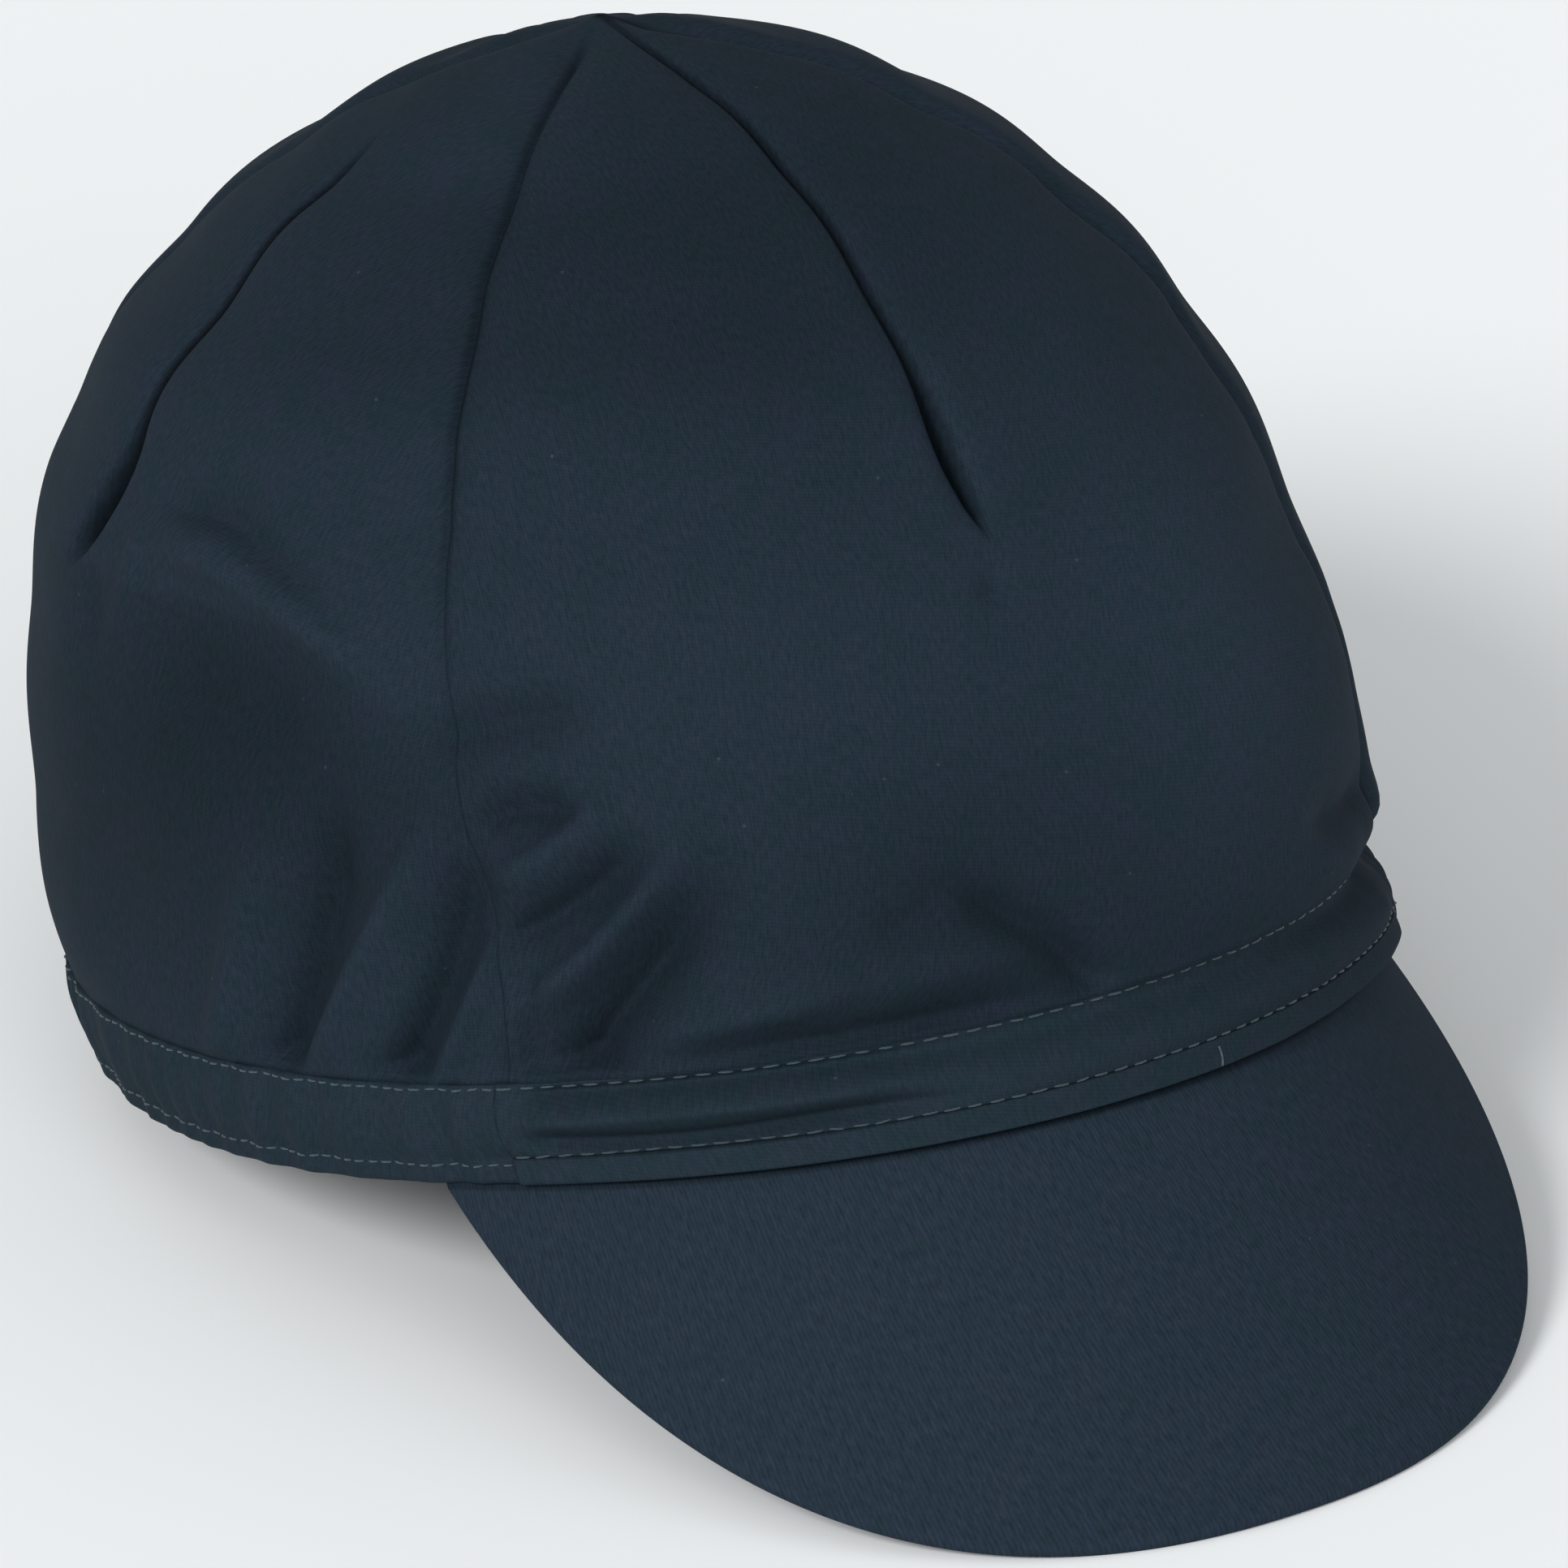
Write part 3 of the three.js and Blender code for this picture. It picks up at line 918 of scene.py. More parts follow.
@dataclass
class Crown:
    """Four panels from the upper stitching to the apex, each taken in by one dart."""

    form: CapForm
    side_seam: float = 51.2
    rear_seam: float = 128.8
    darts: tuple[Dart, ...] = (
        Dart(-0.6, 130.0),
        Dart(
            95.2, 114.0, foot=69.0, widest=71.5, depth_share=1.3, widening=2.2, lean=0.45,
            shade=0.88, shade_reach=1.5,
        ),
        Dart(180.0, 130.0),
        Dart(-95.0, 114.0, depth_share=1.8),
    )
    dart_top_fade: float = 8.0
    dart_foot_blend: float = 5.5
    dart_foot_reach: float = 8.0
    dart_upper_share: float = 0.45
    dart_depth: float = 1.5
    dart_width: float = 2.4
    dart_crease_depth: float = 1.5
    dart_crease_width: float = 0.6
    dart_foot_deepening: float = 1.6
    seam_depth: float = 1.3
    seam_width: float = 2.4
    seam_turn_in: float = 1.1
    seam_turn_width: float = 0.6
    seam_low_share: float = 0.4
    seam_line_low_share: float = 0.12
    seam_full_height: float = 92.0
    seam_fade: float = 45.0
    left_seam_share: float = 2.2
    # Painted shade along the side seam on the wearer's left
    left_seam_shade: float = 0.6
    left_seam_shade_reach: float = 1.5
    apex_blend: float = 14.0
    tip_share: float = 0.9965
    edge_gap: float = 0.01
    pinch_depth: float = 0.5
    pinch_width: float = 3.0
    rows: int = 200
    columns: int = 190
    column_crowding: float = 0.6
    far_fineness: float = 0.8
    unevenness: Unevenness = Unevenness(0.22, 34.0, 11)
    calm_height: float = 8.0
    pucker_depth: float = 0.10
    pucker_length: float = 6.5
    pucker_reach: float = 2.2
    pucker_slant: float = 0.2
    fold_start: float = 0.5
    fold_fade: float = 2.6
    # Painted light on the folds' crests and painted shade in their valleys, per mm of relief, within a range
    fold_shade: float = 0.04
    fold_shade_range: tuple[float, float] = (-0.25, 0.15)
    # A row is a fold's path of angles and heights from end to end, its width, its rise and its lean
    folds: tuple[Fold, ...] = field(default_factory=lambda: (
        Fold(((69, 43), (74.5, 32), (81, 15), (85, 4)), 3.4, 1.8, 1.2),
        Fold(((61.5, 48), (67.5, 31), (74, 14), (78, 3)), 5.4, -4.9, 1.7, end_share=0.28),
        Fold(((52, 47), (60.5, 32), (68, 19), (76, 3)), 3.0, 2.8, 1.6),
        Fold(((50.5, 42.5), (55.5, 28), (61.5, 13), (65.5, 3)), 5.6, -5.2, 2.2, end_share=0.28),
        Fold(((49.5, 34), (53.5, 24), (58, 12), (61, 3)), 2.2, 2.0, 1.4),
        Fold(((48.5, 28), (49, 20), (50, 4)), 2.8, -2.0),
        Fold(((30, 44), (39, 33), (45, 26), (52, 20)), 3.0, 3.0, 2.0),
        Fold(((27, 41), (37.5, 25.5), (44, 13), (48.5, 2)), 4.4, -7.0, 0.7),
        Fold(((37, 46.5), (44.5, 40), (51, 35.5)), 2.6, 2.4, 1.8),
        Fold(((35, 42.5), (44, 33.8), (52.5, 28)), 3.4, -4.6, 1.6),
        Fold(((40, 43), (45.5, 45), (51.5, 41)), 2.4, -3.4),
        Fold(((37, 55.5), (46, 54), (54.5, 52)), 3.2, -3.0),
        Fold(((20, 20.5), (30, 18.8), (40, 17)), 2.4, 1.6),
        Fold(((2, 13.8), (20, 13.2), (39, 13.0)), 2.6, -2.3),
        Fold(((2, 19), (12, 21), (22, 20.5)), 3.0, 1.2),
        Fold(((15, 34.5), (8, 26), (1, 16.5), (-4, 7)), 3.4, -3.6),
        Fold(((20, 26), (12, 30)), 3.0, -1.2),
        Fold(((-27, 23.8), (-39, 21.8), (-54, 19.5)), 3.0, -2.0),
        Fold(((-26, 18), (-44, 15)), 2.8, 0.9),
        Fold(((89, 70), (80, 69.7), (71, 67.2), (62, 62), (53, 55.5)), 4.4, 2.7, 2.0),
        Fold(((88, 58), (74, 56), (60, 48)), 8.0, -2.8),
        Fold(((88, 74.4), (79, 74.0), (69, 70.2), (56, 61)), 2.4, -2.4, 1.5),
        Fold(((95.5, 67), (95, 61), (93.5, 55)), 4.2, -1.2),
        Fold(((88.2, 74), (88.8, 67), (91, 59)), 2.2, 0.7),
        Fold(((-55, 42), (-62, 15), (-64, 4)), 3.8, -2.8, 1.5),
        Fold(((-69, 40), (-77, 15), (-80, 4)), 3.8, 1.6, 1.4),
        Fold(((137, 36), (146, 14), (149, 4)), 3.8, 1.5, 1.4),
        Fold(((168, 35), (171, 13), (172, 4)), 3.8, 1.3, 1.4),
        Fold(((209, 37), (203, 14), (201, 4)), 3.8, 1.5, 1.4),
    ))
    dents: tuple[Area, ...] = (
        Area(0.6, 62.6, 2.8, 2.3, -1.1),
    )
    # Painted shade, or painted light where the amount is above 0, as a share of the plain colour
    painted_shades: tuple[Area, ...] = (
        Area(19, 100, 36, 19, -0.28),
        Area(-26, 50, 30, 26, 0.37),
        Area(-44, 20.5, 13, 3.0, -0.24),
        Area(15, 25, 32, 9, -0.22),
        Area(12, 37, 34, 9, -0.16),
        Area(20, 12, 36, 6, -0.20),
        Area(
            78, 50, 30, 20, -0.28,
            under=((50, 52), (59, 57.6), (67, 63), (72, 64.6), (79, 65.4), (90, 65.4)), edge=1.2,
        ),
        Area(56, 44, 18, 10, -0.14),
        Area(96, 33, 30, 15, -0.16),
        Area(66, 95, 24, 10, -0.14),
        Area(62, 115, 12, 7, 0.16),
    )

    def seam_relief(self, share: np.ndarray, angle: np.ndarray) -> np.ndarray:
        """How far the seams and the darts move the cloth, in mm.

        Args:
            share: share of the side profile.
            angle: angle round the cap.

        Returns:
            The move at each point, out from the cap.
        """
        radius = self.form.reach(share, angle)
        height = self.form.height(share)
        relief = np.zeros(radius.shape)
        upward = smooth_step((height - self.seam_full_height + self.seam_fade) / self.seam_fade)
        tight = self.seam_low_share + (1 - self.seam_low_share) * upward
        line = self.seam_line_low_share + (1 - self.seam_line_low_share) * upward
        for seam in (self.side_seam, self.rear_seam, -self.rear_seam, -self.side_seam):
            away = radius * np.radians(turn(angle, seam))
            depth = self.seam_depth * (self.left_seam_share if seam == -self.side_seam else 1.0)
            relief -= depth * tight * bump(away, self.seam_width)
            relief -= self.seam_turn_in * line * bump(away, self.seam_turn_width)
            seed = int(abs(seam)) + (seam < 0)
            pull = ripples(height, away * self.pucker_slant, self.pucker_length, seed)
            relief += self.pucker_depth * pull * bump(away, self.pucker_reach * self.seam_width)
        for dart in self.darts:
            away, shown, crease_width = self.dart_line(dart, share, angle)
            near_foot = bump(height - dart.widest, self.dart_foot_reach)
            deepening = self.dart_upper_share + (1 - self.dart_upper_share) * near_foot
            crease_depth = self.dart_crease_depth * (1 + self.dart_foot_deepening * near_foot)
            depth = dart.depth_share * shown
            relief -= self.dart_depth * depth * deepening * bump(away, self.dart_width)
            relief -= crease_depth * depth * bump(away, crease_width)
        return relief * smooth_step(radius / self.apex_blend)

    def dart_line(
        self,
        dart: Dart,
        share: np.ndarray,
        angle: np.ndarray,
    ) -> tuple[np.ndarray, np.ndarray, np.ndarray]:
        """Where a dart runs.

        Args:
            dart: the dart.
            share: share of the side profile.
            angle: angle round the cap.

        Returns:
            How far each point is from its line in mm, how fully it shows there, and its crease's width.
        """
        height = self.form.height(share)
        away = self.form.reach(share, angle) * np.radians(turn(angle, dart.angle_at(height)))
        below_top = smooth_step((dart.top - height) / self.dart_top_fade)
        above_foot = smooth_step((height - dart.foot + self.dart_foot_blend) / self.dart_foot_blend)
        near_foot = bump(height - dart.widest, self.dart_foot_reach)
        return away, below_top * above_foot, self.dart_crease_width * (1 + dart.widening * near_foot)

    def fold_relief(self, angle: np.ndarray, height: np.ndarray) -> np.ndarray:
        """How far the soft folds move the cloth, in mm.

        Args:
            angle: angle round the cap.
            height: height above the front hem.

        Returns:
            The move at each point, out from the cap.
        """
        radius = self.form.sections[0].front_reach
        angle, height = np.broadcast_arrays(angle, height)
        held = smooth_step((height - self.form.upper_stitch + self.fold_start) / self.fold_fade)
        return held * sum(fold.relief(angle, height, radius) for fold in self.folds)

    def relief(self, share: np.ndarray, angle: np.ndarray) -> np.ndarray:
        """How far the cloth lies from the plain form, with its seams, folds and small unevenness.

        Args:
            share: share of the side profile.
            angle: angle round the cap.

        Returns:
            The move at each point, out from the cap, in mm.
        """
        height = self.form.height(share)
        radius = self.form.reach(share, angle)
        around = radius * np.radians(angle)
        pinch = -self.pinch_depth * bump(height - self.form.upper_stitch, self.pinch_width)
        above_band = smooth_step((height - self.form.upper_stitch) / self.calm_height)
        uneven = above_band * smooth_step(radius / self.apex_blend) * self.unevenness.at(around, height)
        relief = self.seam_relief(share, angle) + self.fold_relief(angle, height) + pinch + uneven
        dented = sum(area.at(angle, height, radius) for area in self.dents)
        return relief + dented + self.form.swell(angle, height)

    def painted_shade(self, share: np.ndarray, angle: np.ndarray) -> np.ndarray:
        """The painted light and shade at each point, as a share of the plain colour.

        Args:
            share: share of the side profile.
            angle: angle round the cap.

        Returns:
            The share at each point.
        """
        height = self.form.height(share)
        radius = self.form.reach(share, angle)
        # Painted light and shade over soft areas of the crown
        bright = 1 + sum(area.at(angle, height, radius) for area in self.painted_shades)
        # Painted light on the crests of the folds and painted shade in their valleys
        bright = bright + np.clip(self.fold_shade * self.fold_relief(angle, height), *self.fold_shade_range)
        # Painted shade in the darts' creases
        for dart in self.darts:
            away, shown, width = self.dart_line(dart, share, angle)
            bright = bright * (1 - dart.shade * shown * bump(away ** 2, (dart.shade_reach * width) ** 2))
        # Painted shade along the side seam on the wearer's left
        from_seam = radius * np.radians(turn(angle, -self.side_seam))
        reach = self.left_seam_shade_reach * self.seam_turn_width
        return bright * (1 - self.left_seam_shade * bump(from_seam, reach))

    def panel(self, name: str, start: float, dart: Dart, end: float, fineness: float) -> bpy.types.Object:
        """Makes one panel.

        Args:
            name: the piece's name.
            start: angle of the seam where it starts.
            dart: its dart.
            end: angle of the seam where it ends.
            fineness: share of the rows and columns that it is made with.

        Returns:
            The new object.
        """
        bottom = float(self.form.share_at(self.form.upper_stitch + self.edge_gap))
        shares = np.linspace(bottom, self.tip_share, round(self.rows * fineness))[:, None]
        half = np.linspace(0.0, 1.0, round(self.columns * fineness / 2))
        crowded = (1 - np.cos(np.pi * half)) / 2
        crowded = self.column_crowding * crowded + (1 - self.column_crowding) * half
        line = dart.angle_at(self.form.height(shares))
        across = np.concatenate([start + (line - start) * crowded, line + (end - line) * crowded[1:]], axis=1)
        middle = (start + end) / 2
        shrink = np.degrees(self.edge_gap / np.maximum(self.form.half_width(shares), 1.0))
        angles = middle + (across - middle) * (1 - 2 * shrink / (end - start))
        form_points = self.form.point(shares, angles)
        normals = self.form.normal(shares, angles)
        relief = self.relief(shares, angles)[..., None]
        outer = form_points + normals * relief
        inner = form_points + normals * (relief - self.form.crown_wall)
        cloth_u = np.radians(angles - dart.angle) * self.form.reach(shares + 0 * angles, angles)
        cloth_v = shares * self.form.profile_length + 0 * angles
        cloth = np.stack([cloth_u, cloth_v], axis=-1)
        piece = MeshMaker.sheet(name, self.form.at_rest(outer), self.form.at_rest(inner), cloth)
        # The painted light and shade is kept on the mesh for the crown's material
        painted_shade = piece.data.attributes.new(PAINTED_SHADE, "FLOAT", "POINT")
        painted_shade.data.foreach_set("value", np.tile(self.painted_shade(shares, angles).ravel(), 2).astype(np.float32))
        return piece

    def build(self, cloth: bpy.types.Material) -> None:
        """Makes and dresses the four panels.

        Args:
            cloth: the crown's finish.
        """
        front, right, rear, left = self.darts
        panels = {
            "front": (-self.side_seam, front, self.side_seam, 1.0),
            "right": (self.side_seam, right, self.rear_seam, 1.0),
            "rear": (self.rear_seam, rear, WHOLE_TURN - self.rear_seam, self.far_fineness),
            "left": (-self.rear_seam, left, -self.side_seam, self.far_fineness),
        }
        for place, (start, dart, end, fineness) in panels.items():
            piece = self.panel(f"crown_cloth_{place}", start, dart, end, fineness)
            dress(piece, cloth, (f"crown_panel_{place}",))


@dataclass
class Band:
    """The band under the crown: a plain front length, its folded hem and a gathered rear length.

    The groove and the ridge over it run along the wearer's right. The sunk strip and the proud one under it
    lie past the middle of the front. pinch_depth is how far the crown's stitching draws the band in.
    """

    form: CapForm
    bulge: float = 0.9
    rear_bulge_share: float = 0.45
    join_gap: float = 0.04
    join_fade: float = 5.0
    join_fade_start: float = 0.5
    right_start: float = 8.0
    right_reach: float = 18.0
    groove_height: float = 5.2
    groove_depth: float = 2.5
    groove_width: float = 1.2
    groove_fall: float = 0.5
    groove_wander: Unevenness = Unevenness(0.25, 26.0, 29)
    ridge_height: float = 7.9
    ridge_rise: float = 1.3
    ridge_width: float = 1.3
    sunk_height: float = 10.0
    sunk_depth: float = 1.3
    sunk_width: float = 1.7
    sunk_higher_right: float = 0.7
    sunk_deeper_right: float = 0.5
    sunk_narrower_right: float = 0.8
    proud_height: float = 5.6
    proud_rise: float = 0.8
    proud_width: float = 2.2
    wave_stretch: float = 1.6
    front_waves: Unevenness = Unevenness(0.07, 17.0, 23)
    pinch_depth: float = 0.5
    pinch_width: float = 3.0
    stitch_pinch: float = 0.28
    stitch_pinch_width: float = 0.7
    sag: Area = Area(84, 0, 38, 13, 0.95)
    hem_gap: float = 0.1
    hem_proud: float = 0.7
    hem_taper: float = 0.6
    hem_turn_in: float = 0.5
    hem_turn_height: float = 0.6
    hem_waves: Unevenness = Unevenness(0.05, 14.0, 31)
    gather_pitch: float = 6.6
    gather_depth: float = 0.45
    gather_depth_share: float = 0.75
    gather_depth_change: Unevenness = Unevenness(0.35, 23.0, 47)
    gather_drift: Unevenness = Unevenness(2.6, 31.0, 41)
    gather_end_share: float = 0.45
    narrow_gathers: Unevenness = Unevenness(0.07, 3.1, 43)
    narrow_slant: float = 0.15
    rear_turn_in: float = 0.4
    rear_turn_height: float = 0.7
    rows: int = 34
    front_columns: int = 420
    rear_columns: int = 840

    def bulge_at(self, height: np.ndarray) -> np.ndarray:
        """How far the band stands out between its two rows of stitching.

        Args:
            height: height above the front hem.

        Returns:
            How far it stands out, in mm.
        """
        span = self.form.upper_stitch - self.form.lower_stitch
        share = np.clip((height - self.form.lower_stitch) / span, 0.0, 1.0)
        pinch = self.pinch_depth * bump(height - self.form.upper_stitch, self.pinch_width)
        sewn = bump(height - self.form.lower_stitch, self.stitch_pinch_width)
        return self.bulge * np.sin(np.pi * share) - pinch - self.stitch_pinch * sewn

    @staticmethod
    def turned_edge(height: np.ndarray, depth: float, reach: float) -> np.ndarray:
        """How far the cloth turns in at its lowest edge.

        Args:
            height: height above the edge.
            depth: how far it turns in at the edge, in mm.
            reach: the height that the turn takes, in mm.

        Returns:
            How far it turns in, in mm.
        """
        below = 1 - np.clip(height / reach, 0.0, 1.0)
        return depth * (1 - np.sqrt(np.clip(1 - below ** 2, 0.0, 1.0)))

    def front_relief(self, height: np.ndarray, angle: np.ndarray) -> np.ndarray:
        """How far the front length stands out.

        On the wearer's right a ridge runs along it over a groove. Past the middle of the front its upper
        half sinks and its lower half stands out.

        Args:
            height: height above the front hem.
            angle: angle round the cap.

        Returns:
            How far it stands out, in mm.
        """
        right = smooth_step((angle - self.right_start) / self.right_reach)
        right_end = np.clip(angle / self.form.band_join, 0.0, 1.0)
        from_join = self.form.band_join - np.abs(angle) - self.join_fade_start
        shown = smooth_step(from_join / self.join_fade)
        wander = self.groove_wander.at(angle, 0 * angle)
        from_groove = height - self.groove_height + self.groove_fall * (1 - right_end) - wander
        groove = self.groove_depth * bump(from_groove, self.groove_width) * right
        ridge = self.ridge_rise * bump(height - self.ridge_height, self.ridge_width) * right
        sunk_width = self.sunk_width - self.sunk_narrower_right * right
        from_sunk = height - self.sunk_height - self.sunk_higher_right * right
        sunk = (self.sunk_depth + self.sunk_deeper_right * right) * bump(from_sunk, sunk_width)
        proud = self.proud_rise * bump(height - self.proud_height, self.proud_width) * (1 - right)
        waves = self.front_waves.at(angle * self.wave_stretch, height)
        return self.bulge_at(height) + shown * (ridge - groove - sunk + proud) + waves

    def hem_relief(self, height: np.ndarray, angle: np.ndarray) -> np.ndarray:
        """How far the folded hem stands out, which is proud of the band, with a round lower edge.

        Args:
            height: height above the front hem.
            angle: angle round the cap.

        Returns:
            How far it stands out, in mm.
        """
        taper = 1 - self.hem_taper * smooth_step(height / self.form.lower_stitch)
        edge = self.turned_edge(height, self.hem_turn_in, self.hem_turn_height)
        waves = self.hem_waves.at(angle * self.wave_stretch, height)
        return self.hem_proud * taper - edge + waves

    def rear_relief(self, height: np.ndarray, angle: np.ndarray) -> np.ndarray:
        """How far the rear length stands out, with its upright gathers of uneven depth and pitch.

        Args:
            height: height above the front hem.
            angle: angle round the cap.

        Returns:
            How far it stands out, in mm.
        """
        arc = np.radians(angle) * (self.form.sections[0].half_width + self.form.sections[0].rear_reach) / 2
        wave = np.sin(math.tau * (arc + self.gather_drift.at(arc, 0 * arc)) / self.gather_pitch)
        narrow = self.narrow_gathers.at(arc, height * self.narrow_slant)
        depth = self.gather_depth * (self.gather_depth_share + self.gather_depth_change.at(arc, 0 * arc))
        middle = np.sqrt(np.sin(np.pi * np.clip(height / self.form.upper_stitch, 0.0, 1.0)))
        free = self.gather_end_share + (1 - self.gather_end_share) * middle
        from_join = np.minimum(angle, WHOLE_TURN - angle) - self.form.band_join
        shown = smooth_step(from_join / self.join_fade)
        gathers = (depth * wave + narrow) * free * shown
        edge = self.turned_edge(height, self.rear_turn_in, self.rear_turn_height)
        flatter = (1 - self.rear_bulge_share) * shown
        return self.bulge_at(height) * (1 - flatter) + gathers - edge

    def surface(
        self,
        height: np.ndarray,
        angle: np.ndarray,
        offset: np.ndarray,
    ) -> np.ndarray:
        """Points of the band, moved out level.

        Args:
            height: height above the front hem.
            angle: angle round the cap.
            offset: how far out from the plain form, in mm.

        Returns:
            Points in the cap's own frame, in mm.
        """
        share = self.form.share_at(height)
        out = (offset + self.form.swell(angle, height))[..., None]
        points = self.form.point(share, angle) + self.form.level_normal(share, angle) * out
        held = 1 - height / self.form.upper_stitch
        points[..., 2] -= held * self.sag.at(angle, height, self.form.reach(share, angle))
        return points

    def length(
        self,
        name: str,
        spans: tuple[float, float, float, float],
        columns: int,
        relief: Callable[[np.ndarray, np.ndarray], np.ndarray],
    ) -> bpy.types.Object:
        """Makes one length of band.

        Args:
            name: the piece's name.
            spans: first and last angle, then lowest and highest height.
            columns: corners along it.
            relief: how far its outside stands out at a height and an angle.

        Returns:
            The new object.
        """
        start, end, low, high = spans
        heights = np.linspace(low, high, self.rows)[:, None]
        angles = np.linspace(start, end, columns)[None, :]
        heights, angles = np.broadcast_arrays(heights, angles)
        outer = self.surface(heights, angles, relief(heights, angles))
        inner = self.surface(heights, angles, np.full(heights.shape, -self.form.band_wall))
        arc = np.radians(angles) * self.form.reach(self.form.share_at(heights), angles)
        cloth = np.stack([arc, heights], axis=-1)
        return MeshMaker.sheet(name, self.form.at_rest(outer), self.form.at_rest(inner), cloth)

    def build(self, cloth: bpy.types.Material) -> None:
        """Makes and dresses the three lengths.

        Args:
            cloth: the band's finish.
        """
        gap = math.degrees(self.join_gap / 2 / self.form.sections[0].half_width)
        front = self.form.band_join - gap
        rear = self.form.band_join + gap
        low, high = self.form.lower_stitch, self.form.upper_stitch
        spans = (-front, front, low + self.hem_gap, high)
        band = self.length("band_cloth_front", spans, self.front_columns, self.front_relief)
        dress(band, cloth, ("band_front",))
        spans = (-front, front, 0.0, low)
        hem = self.length("hem_cloth_front", spans, self.front_columns, self.hem_relief)
        dress(hem, cloth, ("hem_fold_front",))
        spans = (rear, WHOLE_TURN - rear, 0.0, high)
        gathered = self.length("band_cloth_rear", spans, self.rear_columns, self.rear_relief)
        dress(gathered, cloth, ("band_rear_elastic",))


@dataclass
class Peak:
    """A bent board in a twill cover, which starts under the folded hem and leans down.

    corner is the angle of its two ends, roundness the power by which it gets shorter towards them, and
    spread how far its rays fan out, from 0 for none to 1 for square to the hem. inset is how far under the
    hem it starts.
    """

    form: CapForm
    corner: float = 59.6
    length: float = 55.5
    corner_length: float = 1.6
    roundness: float = 2.72
    slope: float = 52.8
    corner_slope: float = 49.8
    spread: float = 0.46
    inset: float = 1.0
    thickness: float = 2.6
    edge_width: float = 1.5
    edge_end_share: float = 0.02
    rays: int = 240
    ray_crowding: float = 0.85
    rows: int = 90
    row_crowding: float = 1.5

    def rays_at(self, q: np.ndarray) -> tuple[np.ndarray, np.ndarray, np.ndarray]:
        """The peak's rays.

        Args:
            q: shares of the half angle, from -1 to 1.

        Returns:
            Where each ray starts, which way it goes and how long it is.
        """
        angle = np.radians(q * self.corner)
        root = self.form.sections[0]
        normal = np.stack([-root.front_reach * np.sin(angle), -root.half_width * np.cos(angle)], axis=-1)
        normal /= np.linalg.norm(normal, axis=-1, keepdims=True)
        outward = normal * self.spread + np.array([0.0, self.spread - 1.0])
        outward /= np.linalg.norm(outward, axis=-1, keepdims=True)
        slope = np.radians(self.slope + (self.corner_slope - self.slope) * q ** 4)
        start = self.form.point(np.zeros(q.shape), q * self.corner)
        start[..., :2] -= self.inset * normal
        start[..., 2] -= self.form.sewn_gap
        level = outward * np.cos(slope)[:, None]
        along = np.concatenate([level, -np.sin(slope)[:, None]], axis=-1)
        longer = (self.length - self.corner_length) * (1 - np.abs(q) ** self.roundness)
        return start, along, self.corner_length + longer

    def build(self, cover: bpy.types.Material) -> None:
        """Makes and dresses the peak.

        Args:
            cover: the cover's finish.
        """
        step = np.linspace(-1.0, 1.0, self.rays)
        start, along, length = self.rays_at(np.sign(step) * np.abs(step) ** self.ray_crowding)
        across = np.cross(along, np.gradient(start, axis=0))
        across /= np.linalg.norm(across, axis=-1, keepdims=True)
        out = np.linspace(0.0, 1.0, self.rows)
        out = 1 - (1 - out) ** self.row_crowding
        to_edge = length[None, :] * (1 - out[:, None])
        past_edge = 1 - np.clip(to_edge / self.edge_width, 0.0, 1.0)
        round_edge = np.sqrt(np.clip(1 - past_edge ** 2, self.edge_end_share, 1.0))
        base = start[None] + along[None] * (length[None, :] * out[:, None])[..., None]
        middle = base + across[None] * (self.thickness / 2)
        half = (self.thickness / 2 * round_edge)[..., None]
        root_run = np.concatenate([[0.0], np.cumsum(np.linalg.norm(np.diff(start, axis=0), axis=-1))])
        cloth_u = root_run[None, :] + 0 * out[:, None]
        cloth = np.stack([cloth_u, length[None, :] * out[:, None]], axis=-1)
        upper = self.form.at_rest(middle - across[None] * half)
        lower = self.form.at_rest(middle + across[None] * half)
        piece = MeshMaker.sheet("peak_cover", upper, lower, cloth)
        dress(piece, cover, ("peak",))


